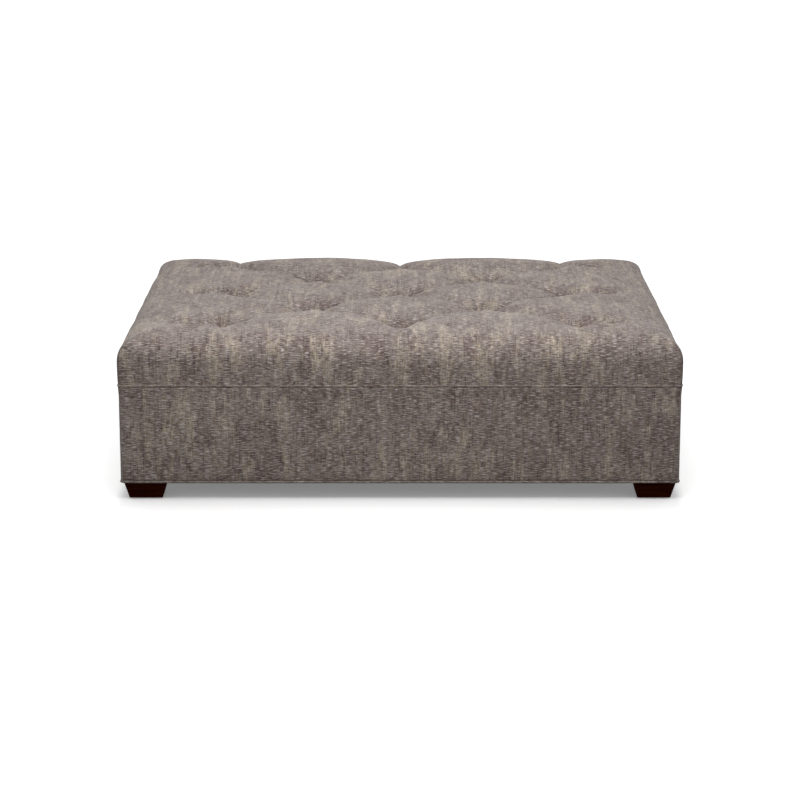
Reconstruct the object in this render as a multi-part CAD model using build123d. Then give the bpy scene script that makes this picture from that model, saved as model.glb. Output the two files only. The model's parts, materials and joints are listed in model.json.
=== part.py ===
from build123d import *

import os
from math import asin, atan2, cos, degrees, radians, sin, sqrt

# An ottoman coffee table: a box frame in padded cloth on four tapered feet, with a tufted foam
# top. Millimetres, +Z up, the floor at zero height and the object centred on it. The front
# faces -Y.

# Overall plan of the tufted top
top_width = 1397.0
top_depth = 1118.0
top_overhang = 3.0
top_corner_radius = 12.0
top_corner_angle = 15.0

# Heights, from the floor up
glide_height = 3.0
foot_height = 46.8
dust_cover_thickness = 0.8
welt_flange_thickness = 1.0
panel_thickness = 1.5
rail_height = 234.0
deck_thickness = 15.0
foam_height = 96.0

# Layers of the sides and the top, from the cloth inwards
cover_thickness = 1.8
soft_gap = 0.3
wrap_build_up = 30.0
padding_thickness = 6.5

# Outline of the top: drawn-in side, round shoulder, crowned border
shoulder_radius = 66.0
crown_radius = 1040.0
crown_angle = 9.0
side_bulge_radius = 900.0

# Tufts: a grid of rows and columns, every other crossing taken
tuft_columns = 5
tuft_rows = 5
tuft_column_pitch = 224.0
tuft_row_pitch = 190.5
tuft_depth = 37.0
tuft_floor_radius = 13.4
tuft_curve_radius = 55.0
tuft_lip_angle = 8.0

# Creases between neighbouring tufts, deep at the tufts and shallow between them
crease_depth = 14.0
crease_radius = 600.0
crease_end_depth = 26.0
crease_end_radius = 55.0
crease_lip_angle = 3.0

# Creases that fade out between the outer tufts and the shoulder
fading_share = 0.7
fading_depth = 6.0
fading_radius = 200.0
fading_rise = 1.0

# Valleys from the back tufts over the shoulder
back_centre_valley_depth = 20.0
back_side_valley_depth = 14.0
valley_radius = 300.0
valley_turn_angle = 50.0
valley_run = 80.0

# Buttons, their cords and the discs under the deck
button_radius = 12.0
button_edge = 2.0
button_height = 7.0
twine_radius = 0.8
twine_hole_radius = 1.2
deck_hole_radius = 3.0
knot_radius = 2.5
knot_height = 3.0
washer_radius = 12.5
washer_thickness = 1.6
foam_hole_radius = 30.0
wrap_floor = 9.0

# Piping
welt_radius = 3.0
upper_welt_proud = 0.3
lower_welt_proud = 2.0
upper_welt_flange = 1.2
lower_welt_flange_width = 16.0

# Base cloth, its padding and the strips behind its top edge
base_corner_radius = 11.0
frame_corner_radius = 3.0
panel_turn_width = 30.0
hem_height = 21.0
tack_strip_height = 13.0
tack_strip_thickness = 1.5

# Wooden frame
rail_thickness = 20.0
post_width = 50.0
plate_width = 150.0
plate_thickness = 18.0
cross_rail_height = 90.0
cross_rail_offset = 336.0

# Feet, their bolts, tee nuts and glides
foot_top_width = 109.0
foot_bottom_width = 83.0
foot_inset = 6.5
foot_edge_radius = 2.0
bolt_radius = 4.0
bolt_in_foot = 38.0
bolt_past_nut = 4.0
bolt_hole_clearance = 0.6
nut_barrel_radius = 5.0
nut_barrel_length = 10.0
nut_flange_radius = 9.5
nut_flange_thickness = 1.5
nut_bore_depth = 12.0
nut_bore_clearance = 1.0
glide_radius = 12.0
glide_nail_radius = 1.5
glide_nail_length = 7.0

# Wood screws
screw_radius = 2.25
screw_head_radius = 4.5
screw_head_height = 3.0
screw_tip_length = 4.0
frame_screw_length = 50.0
deck_screw_length = 40.0
plate_screw_length = 45.0
fit_clearance = 0.1
frame_screw_low = 90.0
frame_screw_high = 190.0
frame_screw_stagger = 20.0
plate_screw_offset = 110.0
post_screw_offset = 12.0
deck_screw_end = 35.0
deck_screws_long = 5
deck_screws_short = 3
deck_screw_short_pitch = 330.0
cross_screw_low = 65.0
cross_screw_high = 30.0

# Staples of the dust cover
dust_cover_edge = 7.5
staple_crown = 10.0
staple_wire = 1.2
staple_thickness = 0.6
staple_leg = 8.0
staple_inset = 12.5
staples_long = 12
staples_short = 9
staple_clear_of_foot = 30.0

# Shared overrun of every cut
overrun = 5.0

# Derived widths
base_width = top_width - 2 * top_overhang
base_depth = top_depth - 2 * top_overhang
base_skin = panel_thickness + padding_thickness
frame_width = base_width - 2 * base_skin
frame_depth = base_depth - 2 * base_skin
inner_width = frame_width - 2 * rail_thickness
inner_depth = frame_depth - 2 * rail_thickness

# Derived heights
foot_top = glide_height + foot_height
dust_cover_top = foot_top + dust_cover_thickness
lower_welt_top = dust_cover_top + welt_flange_thickness
frame_bottom = lower_welt_top + panel_thickness
deck_bottom = frame_bottom + rail_height
deck_top = deck_bottom + deck_thickness
foam_top = deck_top + foam_height
crest = foam_top + wrap_build_up
seam = deck_bottom + welt_radius
panel_top = seam - welt_radius - soft_gap
cover_bottom = seam + welt_radius + soft_gap
side_top = (
    crest
    - crown_radius
    + (crown_radius - shoulder_radius) * cos(radians(crown_angle))
)


def span_box(low, high):
    """Box between two opposite corners."""
    size = [high[i] - low[i] for i in range(3)]
    middle = [(high[i] + low[i]) / 2 for i in range(3)]
    return Pos(*middle) * Box(*size)


def plan_block(width, depth, radius, low, high):
    """Upright block with rounded corners between two heights."""
    outline = RectangleRounded(width, depth, radius)
    return Pos(0, 0, low) * extrude(outline, amount=high - low)


def polygon_prism(points, low, high):
    """Upright prism over a plan polygon between two heights."""
    outline = make_face(Polyline(*points, close=True))
    return Pos(0, 0, low) * extrude(outline, amount=high - low)


def tuft_points():
    """Places of the tufts in plan."""
    places = []
    for row in range(tuft_rows):
        for column in range(tuft_columns):
            if (row + column) % 2 == 0:
                x = (column - (tuft_columns - 1) / 2) * tuft_column_pitch
                y = (row - (tuft_rows - 1) / 2) * tuft_row_pitch
                places.append((x, y))
    return places


def crease_groups():
    """Pairs of diagonal neighbours in the grid, grouped so that no creases in a group meet."""
    places = tuft_points()
    groups = {}
    for row in range(tuft_rows - 1):
        for side in (-1, 1):
            for a in places:
                b = (a[0] + side * tuft_column_pitch, a[1] + tuft_row_pitch)
                low_y = (row - (tuft_rows - 1) / 2) * tuft_row_pitch
                if a[1] == low_y and b in places:
                    groups.setdefault((row % 2, side), []).append((a, b))
    return groups.values()


def drill(solid, cutters):
    """A solid less those of the separate cutters that meet it."""
    box = solid.bounding_box()
    near = []
    for cutter in cutters:
        other = cutter.bounding_box()
        gaps = [
            max(box.min.X - other.max.X, other.min.X - box.max.X),
            max(box.min.Y - other.max.Y, other.min.Y - box.max.Y),
            max(box.min.Z - other.max.Z, other.min.Z - box.max.Z),
        ]
        if max(gaps) < 0:
            near.append(cutter)
    return solid - near if near else solid


# The top's form, drawn at a distance inside its outer face


def section_face(half_width, inset, bottom):
    """Cross-section of the top: drawn-in sides, shoulders, crowned border and flat middle."""
    bulge_x = half_width - side_bulge_radius
    bulge_angle = degrees(asin((side_top - bottom) / (side_bulge_radius - inset)))
    shoulder_x = half_width - shoulder_radius
    crown_x = shoulder_x - (crown_radius - shoulder_radius) * sin(radians(crown_angle))
    crown_z = crest - crown_radius
    side = CenterArc((bulge_x, side_top), side_bulge_radius - inset, -bulge_angle, bulge_angle)
    shoulder = CenterArc((shoulder_x, side_top), shoulder_radius - inset, 0, 90 - crown_angle)
    crown = CenterArc((crown_x, crown_z), crown_radius - inset, 90 - crown_angle, crown_angle)
    right = [side, shoulder, crown]
    left = [mirror(edge, about=Plane.YZ) for edge in right]
    floor = Line(left[0] @ 0, side @ 0)
    roof = Line(crown @ 1, left[2] @ 1)
    return make_face([floor, *right, roof, *left])


def corner_cutter(inset):
    """What the four upright corners lose to their rounding."""
    radius = top_corner_radius - inset
    centre_inset = top_corner_radius * cos(radians(top_corner_angle))
    x = top_width / 2 - centre_inset
    y = top_depth / 2 - centre_inset
    height = crest + 2 * overrun
    outside = span_box((x, y, 0), (top_width / 2 + overrun, top_depth / 2 + overrun, height))
    round_post = Pos(x, y, 0) * extrude(Circle(radius), amount=height)
    one = outside - round_post
    pair = [one, mirror(one, about=Plane.YZ)]
    return pair + [mirror(cutter, about=Plane.XZ) for cutter in pair]


def tuft_cutter(inset):
    """Trumpet-shaped hollow of one tuft about the upright axis."""
    drop = tuft_curve_radius * cos(radians(tuft_lip_angle))
    centre_x = tuft_floor_radius + sqrt(tuft_curve_radius**2 - (drop - tuft_depth) ** 2)
    centre_z = crest - drop
    radius = tuft_curve_radius - inset
    floor_z = crest - tuft_depth - inset
    start = degrees(asin((floor_z - centre_z) / radius))
    wall = CenterArc((centre_x, centre_z), radius, 90, 90 - start)
    outline = Polyline(
        wall @ 1,
        (0, floor_z),
        (0, crest + overrun),
        (centre_x, crest + overrun),
        wall @ 0,
    )
    face = Plane.XZ * make_face([wall, *outline.edges()])
    return revolve(face, Axis.Z)


def crease_face(depth, radius, inset):
    """Area above two pillow arcs that meet in a crease, with zero height at the pillows' face."""
    drop = radius * cos(radians(crease_lip_angle))
    half = sqrt(radius**2 - (drop - depth) ** 2)
    arc_radius = radius - inset
    bottom = sqrt(arc_radius**2 - half**2)
    start = degrees(atan2(bottom, -half)) - 90
    right = CenterArc((half, -drop), arc_radius, 90, start)
    left = CenterArc((-half, -drop), arc_radius, 90 - start, start)
    lid = Polyline(
        right @ 0,
        (half, overrun),
        (-half, overrun),
        left @ 1,
    )
    return make_face([right, left, *lid.edges()])


def crease_cutter(a, b, inset):
    """Crease between two tufts, lofted from end to middle to end."""
    along = Vector(b[0] - a[0], b[1] - a[1], 0).normalized()
    across = Vector(0, 0, 1).cross(along)
    middle = ((a[0] + b[0]) / 2, (a[1] + b[1]) / 2)
    stations = [
        (a, crease_end_depth, crease_end_radius),
        (middle, crease_depth, crease_radius),
        (b, crease_end_depth, crease_end_radius),
    ]
    faces = []
    for place, depth, radius in stations:
        plane = Plane((place[0], place[1], crest), x_dir=-across, z_dir=-along)
        faces.append(plane * crease_face(depth, radius, inset))
    return loft(faces)


def crown_height(half_width, distance):
    """Height of the outer face over the border, at a distance from the middle."""
    crown_x = half_width - shoulder_radius
    crown_x -= (crown_radius - shoulder_radius) * sin(radians(crown_angle))
    return crest - crown_radius + sqrt(crown_radius**2 - max(distance - crown_x, 0) ** 2)


def fading_cutter(start, outward, half_width, inset):
    """Crease from an outer tuft towards the edge, rising out of the face before the shoulder."""
    out = Vector(outward[0], outward[1], 0)
    up = Vector(0, 0, 1)
    origin = Vector(start[0], start[1], 0)
    reach = origin.dot(out)
    length = (half_width - shoulder_radius - reach) * fading_share
    face_height = crown_height(half_width, reach + length)
    end = origin + out * length + up * (face_height + fading_depth + fading_rise)
    stations = [
        (origin + up * crest, crease_face(crease_end_depth, crease_end_radius, inset)),
        (end, crease_face(fading_depth, fading_radius, inset)),
    ]
    return loft([Plane(place, x_dir=out.cross(up), z_dir=-out) * face for place, face in stations])


def valley_cutter(start, depth, inset):
    """Valley from a back tuft over the crown and the shoulder, running out of the back face."""
    across = Vector(1, 0, 0)
    turn_y = top_depth / 2 - shoulder_radius
    crown_y = turn_y - (crown_radius - shoulder_radius) * sin(radians(crown_angle))
    crown_middle = Vector(start[0], crown_y, crest - crown_radius)
    shoulder_middle = Vector(start[0], turn_y, side_top)
    section = crease_face(depth, valley_radius, inset)

    def station(middle, radius, angle):
        normal = Vector(0, sin(radians(angle)), cos(radians(angle)))
        back = Vector(0, -cos(radians(angle)), sin(radians(angle)))
        return Plane(middle + normal * radius, x_dir=across, z_dir=back) * section

    tuft_plane = Plane((start[0], start[1], crest), x_dir=across, z_dir=(0, -1, 0))
    tuft_end = tuft_plane * crease_face(crease_end_depth, crease_end_radius, inset)
    on_crown = station(crown_middle, crown_radius, crown_angle / 2)
    on_shoulder = station(shoulder_middle, shoulder_radius, crown_angle)
    below = station(shoulder_middle, shoulder_radius, valley_turn_angle)
    lead = loft([tuft_end, on_crown])
    lead += revolve(on_crown, Axis(crown_middle, -across), crown_angle / 2)
    bend = revolve(on_shoulder, Axis(shoulder_middle, -across), valley_turn_angle - crown_angle)
    tangent = Vector(0, cos(radians(valley_turn_angle)), -sin(radians(valley_turn_angle)))
    return lead + bend + extrude(below, amount=valley_run, dir=tangent)


def border_groups(inset):
    """Creases and valleys that run outwards from the outermost tufts, in two separate groups."""
    end_x = (tuft_columns - 1) / 2 * tuft_column_pitch
    end_y = (tuft_rows - 1) / 2 * tuft_row_pitch
    front_and_back = []
    ends = []
    for x, y in tuft_points():
        if y == end_y:
            depth = back_centre_valley_depth if x == 0 else back_side_valley_depth
            front_and_back.append(valley_cutter((x, y), depth, inset))
        if y == -end_y:
            front_and_back.append(fading_cutter((x, y), (0, -1), top_depth / 2, inset))
        if abs(x) == end_x:
            ends.append(fading_cutter((x, y), (x / end_x, 0), top_width / 2, inset))
    return [front_and_back, ends]


def plain_form(inset, bottom):
    """The top's form without its tufts."""
    across = section_face(top_width / 2, inset, bottom)
    along = section_face(top_depth / 2, inset, bottom)
    block = extrude(Plane.XZ * across, amount=top_depth / 2 + overrun, both=True)
    block &= extrude(Plane.YZ * along, amount=top_width / 2 + overrun, both=True)
    return block


def tufted_form(inset, bottom):
    """The top's form with its tufts, creases and valleys."""
    hollow = tuft_cutter(inset)
    groups = [corner_cutter(inset), [Pos(x, y, 0) * hollow for x, y in tuft_points()]]
    for pairs in crease_groups():
        groups.append([crease_cutter(a, b, inset) for a, b in pairs])
    groups += border_groups(inset)
    form = plain_form(inset, bottom)
    for group in groups:
        form -= group
    return form


# Fasteners


def screw_profile(length, clearance):
    """Countersunk wood screw, head up at zero height, widened all round by a clearance."""
    shank = screw_radius + clearance
    head = screw_head_radius + clearance
    end = -(length + clearance)
    points = [
        (0, 0),
        (head, 0),
        (shank, -screw_head_height - clearance),
        (shank, end + screw_tip_length),
        (0, end),
    ]
    return revolve(Plane.XZ * make_face(Polyline(*points, close=True)), Axis.Z)


def at_places(places, solid):
    """Copies of a solid at the given locations."""
    return [place * solid for place in places]


def corner_signs():
    """Signs of the four corners, with the name of each."""
    return [
        ("front_left", -1, -1),
        ("front_right", 1, -1),
        ("back_left", -1, 1),
        ("back_right", 1, 1),
    ]


def sideways(x, y, z, facing):
    """Location that turns an upright screw so that its head faces a plan direction."""
    turned = Plane((x, y, z), x_dir=(-facing[1], facing[0], 0), z_dir=(facing[0], facing[1], 0))
    return Location(turned)


def frame_screw_places():
    """Screws through the rails into the corner posts and the foot plates."""
    places = []
    plate_middle = frame_bottom + plate_thickness / 2
    for _, sx, sy in corner_signs():
        post_x = sx * (inner_width - post_width) / 2
        post_y = sy * (inner_depth - post_width) / 2
        plate_x = sx * (inner_width / 2 - plate_screw_offset)
        plate_y = sy * (inner_depth / 2 - plate_screw_offset)
        places.append(sideways(plate_x, sy * frame_depth / 2, plate_middle, (0, sy)))
        places.append(sideways(sx * frame_width / 2, plate_y, plate_middle, (sx, 0)))
        for height in (frame_screw_low, frame_screw_high):
            low = frame_bottom + height
            places.append(sideways(post_x, sy * frame_depth / 2, low, (0, sy)))
            high = low + frame_screw_stagger
            places.append(sideways(sx * frame_width / 2, post_y, high, (sx, 0)))
    return places


def cross_rail_screw_places():
    """Screws through the front and back rails into the ends of the cross rails."""
    places = []
    for sx in (-1, 1):
        for sy in (-1, 1):
            for drop in (cross_screw_low, cross_screw_high):
                x = sx * cross_rail_offset
                places.append(sideways(x, sy * frame_depth / 2, deck_bottom - drop, (0, sy)))
    return places


def plate_screw_places():
    """Screws up through each foot plate into the post above it, heads down."""
    places = []
    for _, sx, sy in corner_signs():
        near = post_screw_offset
        far = post_width - post_screw_offset
        for dx, dy in ((near, far), (far, near)):
            x = sx * (inner_width / 2 - dx)
            y = sy * (inner_depth / 2 - dy)
            places.append(Pos(x, y, frame_bottom) * Rot(180, 0, 0))
    return places


def deck_screw_places():
    """Screws down through the deck into the rails and the cross rails."""
    places = []
    rail_x = (frame_width - rail_thickness) / 2
    rail_y = (frame_depth - rail_thickness) / 2
    pitch = (frame_width - 2 * deck_screw_end) / (deck_screws_long - 1)
    for sy in (-1, 1):
        for i in range(deck_screws_long):
            places.append(Pos(-frame_width / 2 + deck_screw_end + i * pitch, sy * rail_y, deck_top))
    for x in (-rail_x, -cross_rail_offset, cross_rail_offset, rail_x):
        for i in range(deck_screws_short):
            y = (i - (deck_screws_short - 1) / 2) * deck_screw_short_pitch
            places.append(Pos(x, y, deck_top))
    return places


def staple_places():
    """Places of the staples round the dust cover, between the feet."""
    places = []
    rail_x = frame_width / 2 - staple_inset
    rail_y = frame_depth / 2 - staple_inset
    free_x = foot_centre[0] - foot_top_width / 2 - staple_clear_of_foot
    free_y = foot_centre[1] - foot_top_width / 2 - staple_clear_of_foot
    for i in range(staples_long):
        x = -free_x + 2 * free_x * i / (staples_long - 1)
        places += [Pos(x, sy * rail_y, foot_top) for sy in (-1, 1)]
    for i in range(staples_short):
        y = -free_y + 2 * free_y * i / (staples_short - 1)
        places += [Pos(sx * rail_x, y, foot_top) * Rot(0, 0, 90) for sx in (-1, 1)]
    return places


def staple(clearance):
    """Wire staple with its crown under the dust cover and its legs up."""
    half = staple_crown / 2
    wire = staple_wire / 2 + clearance
    leg_top = staple_leg + clearance
    solid = span_box((-half, -wire, -staple_thickness), (half, wire, 0))
    for side in (-1, 1):
        outer = side * (half + clearance)
        inner = side * (half - staple_thickness - clearance)
        low_x, high_x = sorted((outer, inner))
        solid += span_box((low_x, -wire, -staple_thickness), (high_x, wire, leg_top))
    return solid


# Places that several pieces share
foot_centre = (
    base_width / 2 - foot_inset - foot_top_width / 2,
    base_depth / 2 - foot_inset - foot_top_width / 2,
)
foot_places = {name: (sx * foot_centre[0], sy * foot_centre[1]) for name, sx, sy in corner_signs()}
parts = {}

# Screws and the holes that they sit in
frame_screw = screw_profile(frame_screw_length, 0)
frame_screw_hole = screw_profile(frame_screw_length, fit_clearance)
deck_screw = screw_profile(deck_screw_length, 0)
deck_screw_hole = screw_profile(deck_screw_length, fit_clearance)
plate_screw = screw_profile(plate_screw_length, 0)
plate_screw_hole = screw_profile(plate_screw_length, fit_clearance)
parts["frame_screws"] = at_places(frame_screw_places(), frame_screw)
parts["cross_rail_screws"] = at_places(cross_rail_screw_places(), frame_screw)
parts["plate_screws"] = at_places(plate_screw_places(), plate_screw)
parts["deck_screws"] = at_places(deck_screw_places(), deck_screw)
side_holes = at_places(frame_screw_places() + cross_rail_screw_places(), frame_screw_hole)
deck_holes = at_places(deck_screw_places(), deck_screw_hole)
plate_holes = at_places(plate_screw_places(), plate_screw_hole)
parts["dust_cover_staples"] = at_places(staple_places(), staple(0))
staple_holes = at_places(staple_places(), staple(fit_clearance))

# Box frame
half_w = frame_width / 2
half_d = frame_depth / 2
in_w = inner_width / 2
in_d = inner_depth / 2
frame_block = plan_block(frame_width, frame_depth, frame_corner_radius, frame_bottom, deck_bottom)
for name, sy in (("front_rail", -1), ("back_rail", 1)):
    low_y, high_y = sorted((sy * in_d, sy * half_d))
    rail = frame_block & span_box((-half_w, low_y, frame_bottom), (half_w, high_y, deck_bottom))
    parts[name] = drill(rail, side_holes + deck_holes + staple_holes)
for name, sx in (("left_rail", -1), ("right_rail", 1)):
    low_x, high_x = sorted((sx * in_w, sx * half_w))
    rail = span_box((low_x, -in_d, frame_bottom), (high_x, in_d, deck_bottom))
    parts[name] = drill(rail, side_holes + deck_holes + staple_holes)
for name, sx in (("cross_rail_left", -1), ("cross_rail_right", 1)):
    x = sx * cross_rail_offset
    low_x = x - rail_thickness / 2
    high_x = x + rail_thickness / 2
    rail = span_box((low_x, -in_d, deck_bottom - cross_rail_height), (high_x, in_d, deck_bottom))
    parts[name] = drill(rail, side_holes + deck_holes)

# Corner posts, foot plates, feet and their hardware
plate_top = frame_bottom + plate_thickness
nut_bottom = plate_top - nut_barrel_length
bolt_bottom = foot_top - bolt_in_foot
bolt_top = plate_top + nut_flange_thickness + bolt_past_nut
nut_clearance = extrude(Circle(nut_flange_radius + nut_bore_clearance), amount=nut_bore_depth)
foot_plan = [
    (foot_bottom_width, glide_height),
    (foot_top_width, foot_top),
]
foot_block = loft([Pos(0, 0, z) * Rectangle(width, width) for width, z in foot_plan])
slanted = foot_block.edges().filter_by(Axis.Z, reverse=True)
slanted = [edge for edge in slanted if edge.bounding_box().size.Z > glide_height]
foot_block = fillet(slanted, foot_edge_radius)
bolt_hole = Circle(bolt_radius + fit_clearance)
foot_block -= Pos(0, 0, bolt_bottom) * extrude(bolt_hole, amount=bolt_in_foot + overrun)
nail_hole = Circle(glide_nail_radius + fit_clearance)
foot_block -= extrude(nail_hole, amount=glide_height + glide_nail_length)
glide = extrude(Circle(glide_radius), amount=glide_height)
glide = chamfer(glide.edges().group_by(Axis.Z)[0], glide_height / 4)
glide += extrude(Circle(glide_nail_radius), amount=glide_height + glide_nail_length)
bolt = Pos(0, 0, bolt_bottom) * extrude(Circle(bolt_radius), amount=bolt_top - bolt_bottom)
bolt = chamfer(bolt.edges(), bolt_radius / 4)
nut = Pos(0, 0, nut_bottom) * extrude(Circle(nut_barrel_radius), amount=nut_barrel_length)
nut += Pos(0, 0, plate_top) * extrude(Circle(nut_flange_radius), amount=nut_flange_thickness)
nut -= Pos(0, 0, nut_bottom - overrun) * extrude(bolt_hole, amount=plate_top)
plate_bore = Pos(0, 0, nut_bottom) * extrude(
    Circle(nut_barrel_radius + fit_clearance), amount=nut_barrel_length + overrun
)
bolt_way = Circle(bolt_radius + bolt_hole_clearance)
plate_bore += Pos(0, 0, foot_top - overrun) * extrude(bolt_way, amount=plate_thickness)
parts["foot_glides"] = []
parts["foot_bolts"] = []
parts["foot_tee_nuts"] = []
for name, sx, sy in corner_signs():
    place = Pos(*foot_places[name], 0)
    parts["foot_" + name] = place * foot_block
    parts["foot_glides"].append(place * glide)
    parts["foot_bolts"].append(place * bolt)
    parts["foot_tee_nuts"].append(place * nut)
    low_x, high_x = sorted((sx * in_w, sx * (in_w - plate_width)))
    low_y, high_y = sorted((sy * in_d, sy * (in_d - plate_width)))
    plate = span_box((low_x, low_y, frame_bottom), (high_x, high_y, plate_top))
    parts["foot_plate_" + name] = drill(plate, [place * plate_bore, *side_holes, *plate_holes])
    low_x, high_x = sorted((sx * in_w, sx * (in_w - post_width)))
    low_y, high_y = sorted((sy * in_d, sy * (in_d - post_width)))
    post = span_box((low_x, low_y, plate_top), (high_x, high_y, deck_bottom))
    clearance = Pos(*foot_places[name], plate_top) * nut_clearance
    parts["corner_post_" + name] = drill(post, [clearance, *side_holes, *plate_holes])

# Deck board with its tuft holes
deck = plan_block(frame_width, frame_depth, frame_corner_radius, deck_bottom, deck_top)
deck_hole = extrude(Circle(deck_hole_radius), amount=crest)
tuft_ways = [Pos(x, y, 0) * deck_hole for x, y in tuft_points()]
parts["deck_board"] = drill(deck, deck_holes + tuft_ways)

# Foam slab and fibre wrap
foam_hole = extrude(Circle(foam_hole_radius), amount=crest + overrun)
foam_cuts = [Pos(x, y, 0) * foam_hole for x, y in tuft_points()]
parts["foam_block"] = drill(plain_form(wrap_build_up, deck_top), foam_cuts)
foam_room = plain_form(wrap_build_up - soft_gap, deck_top)
plug_radius = foam_hole_radius - soft_gap
plug_floor = crest - tuft_depth - cover_thickness - soft_gap - wrap_floor
plug = Pos(0, 0, plug_floor) * extrude(Circle(plug_radius), amount=crest)
foam_room = drill(foam_room, [Pos(x, y, 0) * plug for x, y in tuft_points()])
wrap_inset = cover_thickness + soft_gap
wrap_bottom = cover_bottom + cover_thickness + soft_gap
deck_room_top = deck_top + soft_gap
twine_hole = extrude(Circle(twine_hole_radius), amount=crest)
twine_holes = [Pos(x, y, 0) * twine_hole for x, y in tuft_points()]
wrap = tufted_form(wrap_inset, wrap_bottom)
wrap -= foam_room
hem_width = frame_width + 2 * (cover_thickness + soft_gap)
hem_depth = frame_depth + 2 * (cover_thickness + soft_gap)
hem_corner = frame_corner_radius + cover_thickness
wrap -= plan_block(hem_width, hem_depth, hem_corner + soft_gap, wrap_bottom - overrun, deck_room_top)
parts["fibre_wrap"] = drill(wrap, twine_holes)

# Tufted cover with its hem behind the base cloth
cover = tufted_form(0, cover_bottom)
cover -= tufted_form(cover_thickness, cover_bottom + cover_thickness)
hem_top = cover_bottom + cover_thickness
cover -= plan_block(frame_width, frame_depth, frame_corner_radius, cover_bottom - overrun, hem_top)
hem_bottom = deck_bottom - hem_height
hem_w = frame_width + 2 * cover_thickness
hem_d = frame_depth + 2 * cover_thickness
hem = plan_block(hem_w, hem_d, hem_corner, hem_bottom, hem_top)
hem -= plan_block(
    frame_width, frame_depth, frame_corner_radius, hem_bottom - overrun, hem_top + overrun
)
parts["top_cover"] = drill(cover + hem, twine_holes)

# Buttons, their cords and the discs under the deck
button_floor = crest - tuft_depth
button_rise = button_height - button_edge
dome_radius = (button_radius**2 + button_rise**2) / (2 * button_rise)
dome_angle = degrees(asin(button_radius / dome_radius))
dome = CenterArc((0, button_height - dome_radius), dome_radius, 90 - dome_angle, dome_angle)
button_outline = Polyline(dome @ 1, (0, 0), (button_radius, 0), dome @ 0)
button = revolve(Plane.XZ * make_face([dome, *button_outline.edges()]), Axis.Z)
washer_bottom = deck_bottom - washer_thickness
washer = Pos(0, 0, washer_bottom) * extrude(
    Circle(washer_radius) - Circle(twine_hole_radius), amount=washer_thickness
)
twine = Pos(0, 0, washer_bottom) * extrude(
    Circle(twine_radius), amount=button_floor - washer_bottom
)
knot = Pos(0, 0, washer_bottom - knot_height) * extrude(Circle(knot_radius), amount=knot_height)
twine += fillet(knot.edges(), knot_height / 3)
parts["tuft_buttons"] = [Pos(x, y, button_floor) * button for x, y in tuft_points()]
parts["tuft_twines"] = [Pos(x, y, 0) * twine for x, y in tuft_points()]
parts["tuft_washers"] = [Pos(x, y, 0) * washer for x, y in tuft_points()]


def welt_ring(outer_width, outer_depth, corner_radius, height):
    """Closed piping cord whose outer side lies on a rounded plan outline."""
    width = outer_width - 2 * welt_radius
    depth = outer_depth - 2 * welt_radius
    path = Pos(0, 0, height) * RectangleRounded(width, depth, corner_radius - welt_radius).wire()
    start = path @ 0
    section = Plane(start, x_dir=Vector(0, 0, 1).cross(path % 0), z_dir=path % 0) * Circle(welt_radius)
    return sweep(section, path=path)


# Piping at the waist and at the lower edge, each with its sewn-in flange
upper_proud = 2 * upper_welt_proud
upper_corner = top_corner_radius + upper_welt_proud
cord = welt_ring(top_width + upper_proud, top_depth + upper_proud, upper_corner, seam)
flange_low = seam - upper_welt_flange / 2
flange_high = seam + upper_welt_flange / 2
tab_width = top_width + upper_proud - 2 * welt_radius
tab_depth = top_depth + upper_proud - 2 * welt_radius
tab = plan_block(tab_width, tab_depth, upper_corner - welt_radius, flange_low, flange_high)
tab -= plan_block(hem_w, hem_d, hem_corner, flange_low - overrun, flange_high + overrun)
parts["upper_welt"] = cord + tab
lower_proud = 2 * lower_welt_proud
lower_corner = base_corner_radius + lower_welt_proud
lower_centre = lower_welt_top - welt_radius
cord = welt_ring(base_width + lower_proud, base_depth + lower_proud, lower_corner, lower_centre)
tab_low = lower_welt_top - welt_flange_thickness
tab_width = base_width + lower_proud - 2 * welt_radius
tab_depth = base_depth + lower_proud - 2 * welt_radius
tab_corner = lower_corner - welt_radius
tab = plan_block(tab_width, tab_depth, tab_corner, tab_low, lower_welt_top)
tab -= plan_block(
    tab_width - 2 * lower_welt_flange_width,
    tab_depth - 2 * lower_welt_flange_width,
    frame_corner_radius,
    tab_low - overrun,
    lower_welt_top + overrun,
)
parts["lower_welt"] = cord + tab

# Base cloth, padding and card strips, each ring cut at its mitred corners
turn_low = panel_top - panel_thickness
skirt_width = base_width - 2 * panel_thickness
skirt_depth = base_depth - 2 * panel_thickness
skirt_radius = base_corner_radius - panel_thickness
cloth = plan_block(base_width, base_depth, base_corner_radius, lower_welt_top, panel_top)
cloth -= plan_block(skirt_width, skirt_depth, skirt_radius, frame_bottom, turn_low)
cloth -= plan_block(hem_w, hem_d, hem_corner, turn_low, panel_top + overrun)
cloth -= plan_block(
    skirt_width - 2 * panel_turn_width,
    skirt_depth - 2 * panel_turn_width,
    frame_corner_radius,
    lower_welt_top - overrun,
    frame_bottom,
)
cloth = drill(cloth, staple_holes)
strip_low = turn_low - tack_strip_height
strip_w = hem_w + 2 * tack_strip_thickness
strip_d = hem_d + 2 * tack_strip_thickness
strip_corner = hem_corner + tack_strip_thickness
strip = plan_block(strip_w, strip_d, strip_corner, strip_low, turn_low)
strip -= plan_block(hem_w, hem_d, hem_corner, strip_low - overrun, turn_low + overrun)
padding = plan_block(skirt_width, skirt_depth, skirt_radius, frame_bottom, turn_low)
padding -= plan_block(
    frame_width, frame_depth, frame_corner_radius, frame_bottom - overrun, turn_low + overrun
)
padding -= plan_block(strip_w, strip_d, strip_corner, hem_bottom, turn_low + overrun)
wedge_reach = panel_turn_width + base_corner_radius + overrun
out_x = base_width / 2 + overrun
out_y = base_depth / 2 + overrun
in_x = out_x - overrun - wedge_reach
in_y = out_y - overrun - wedge_reach
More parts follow.
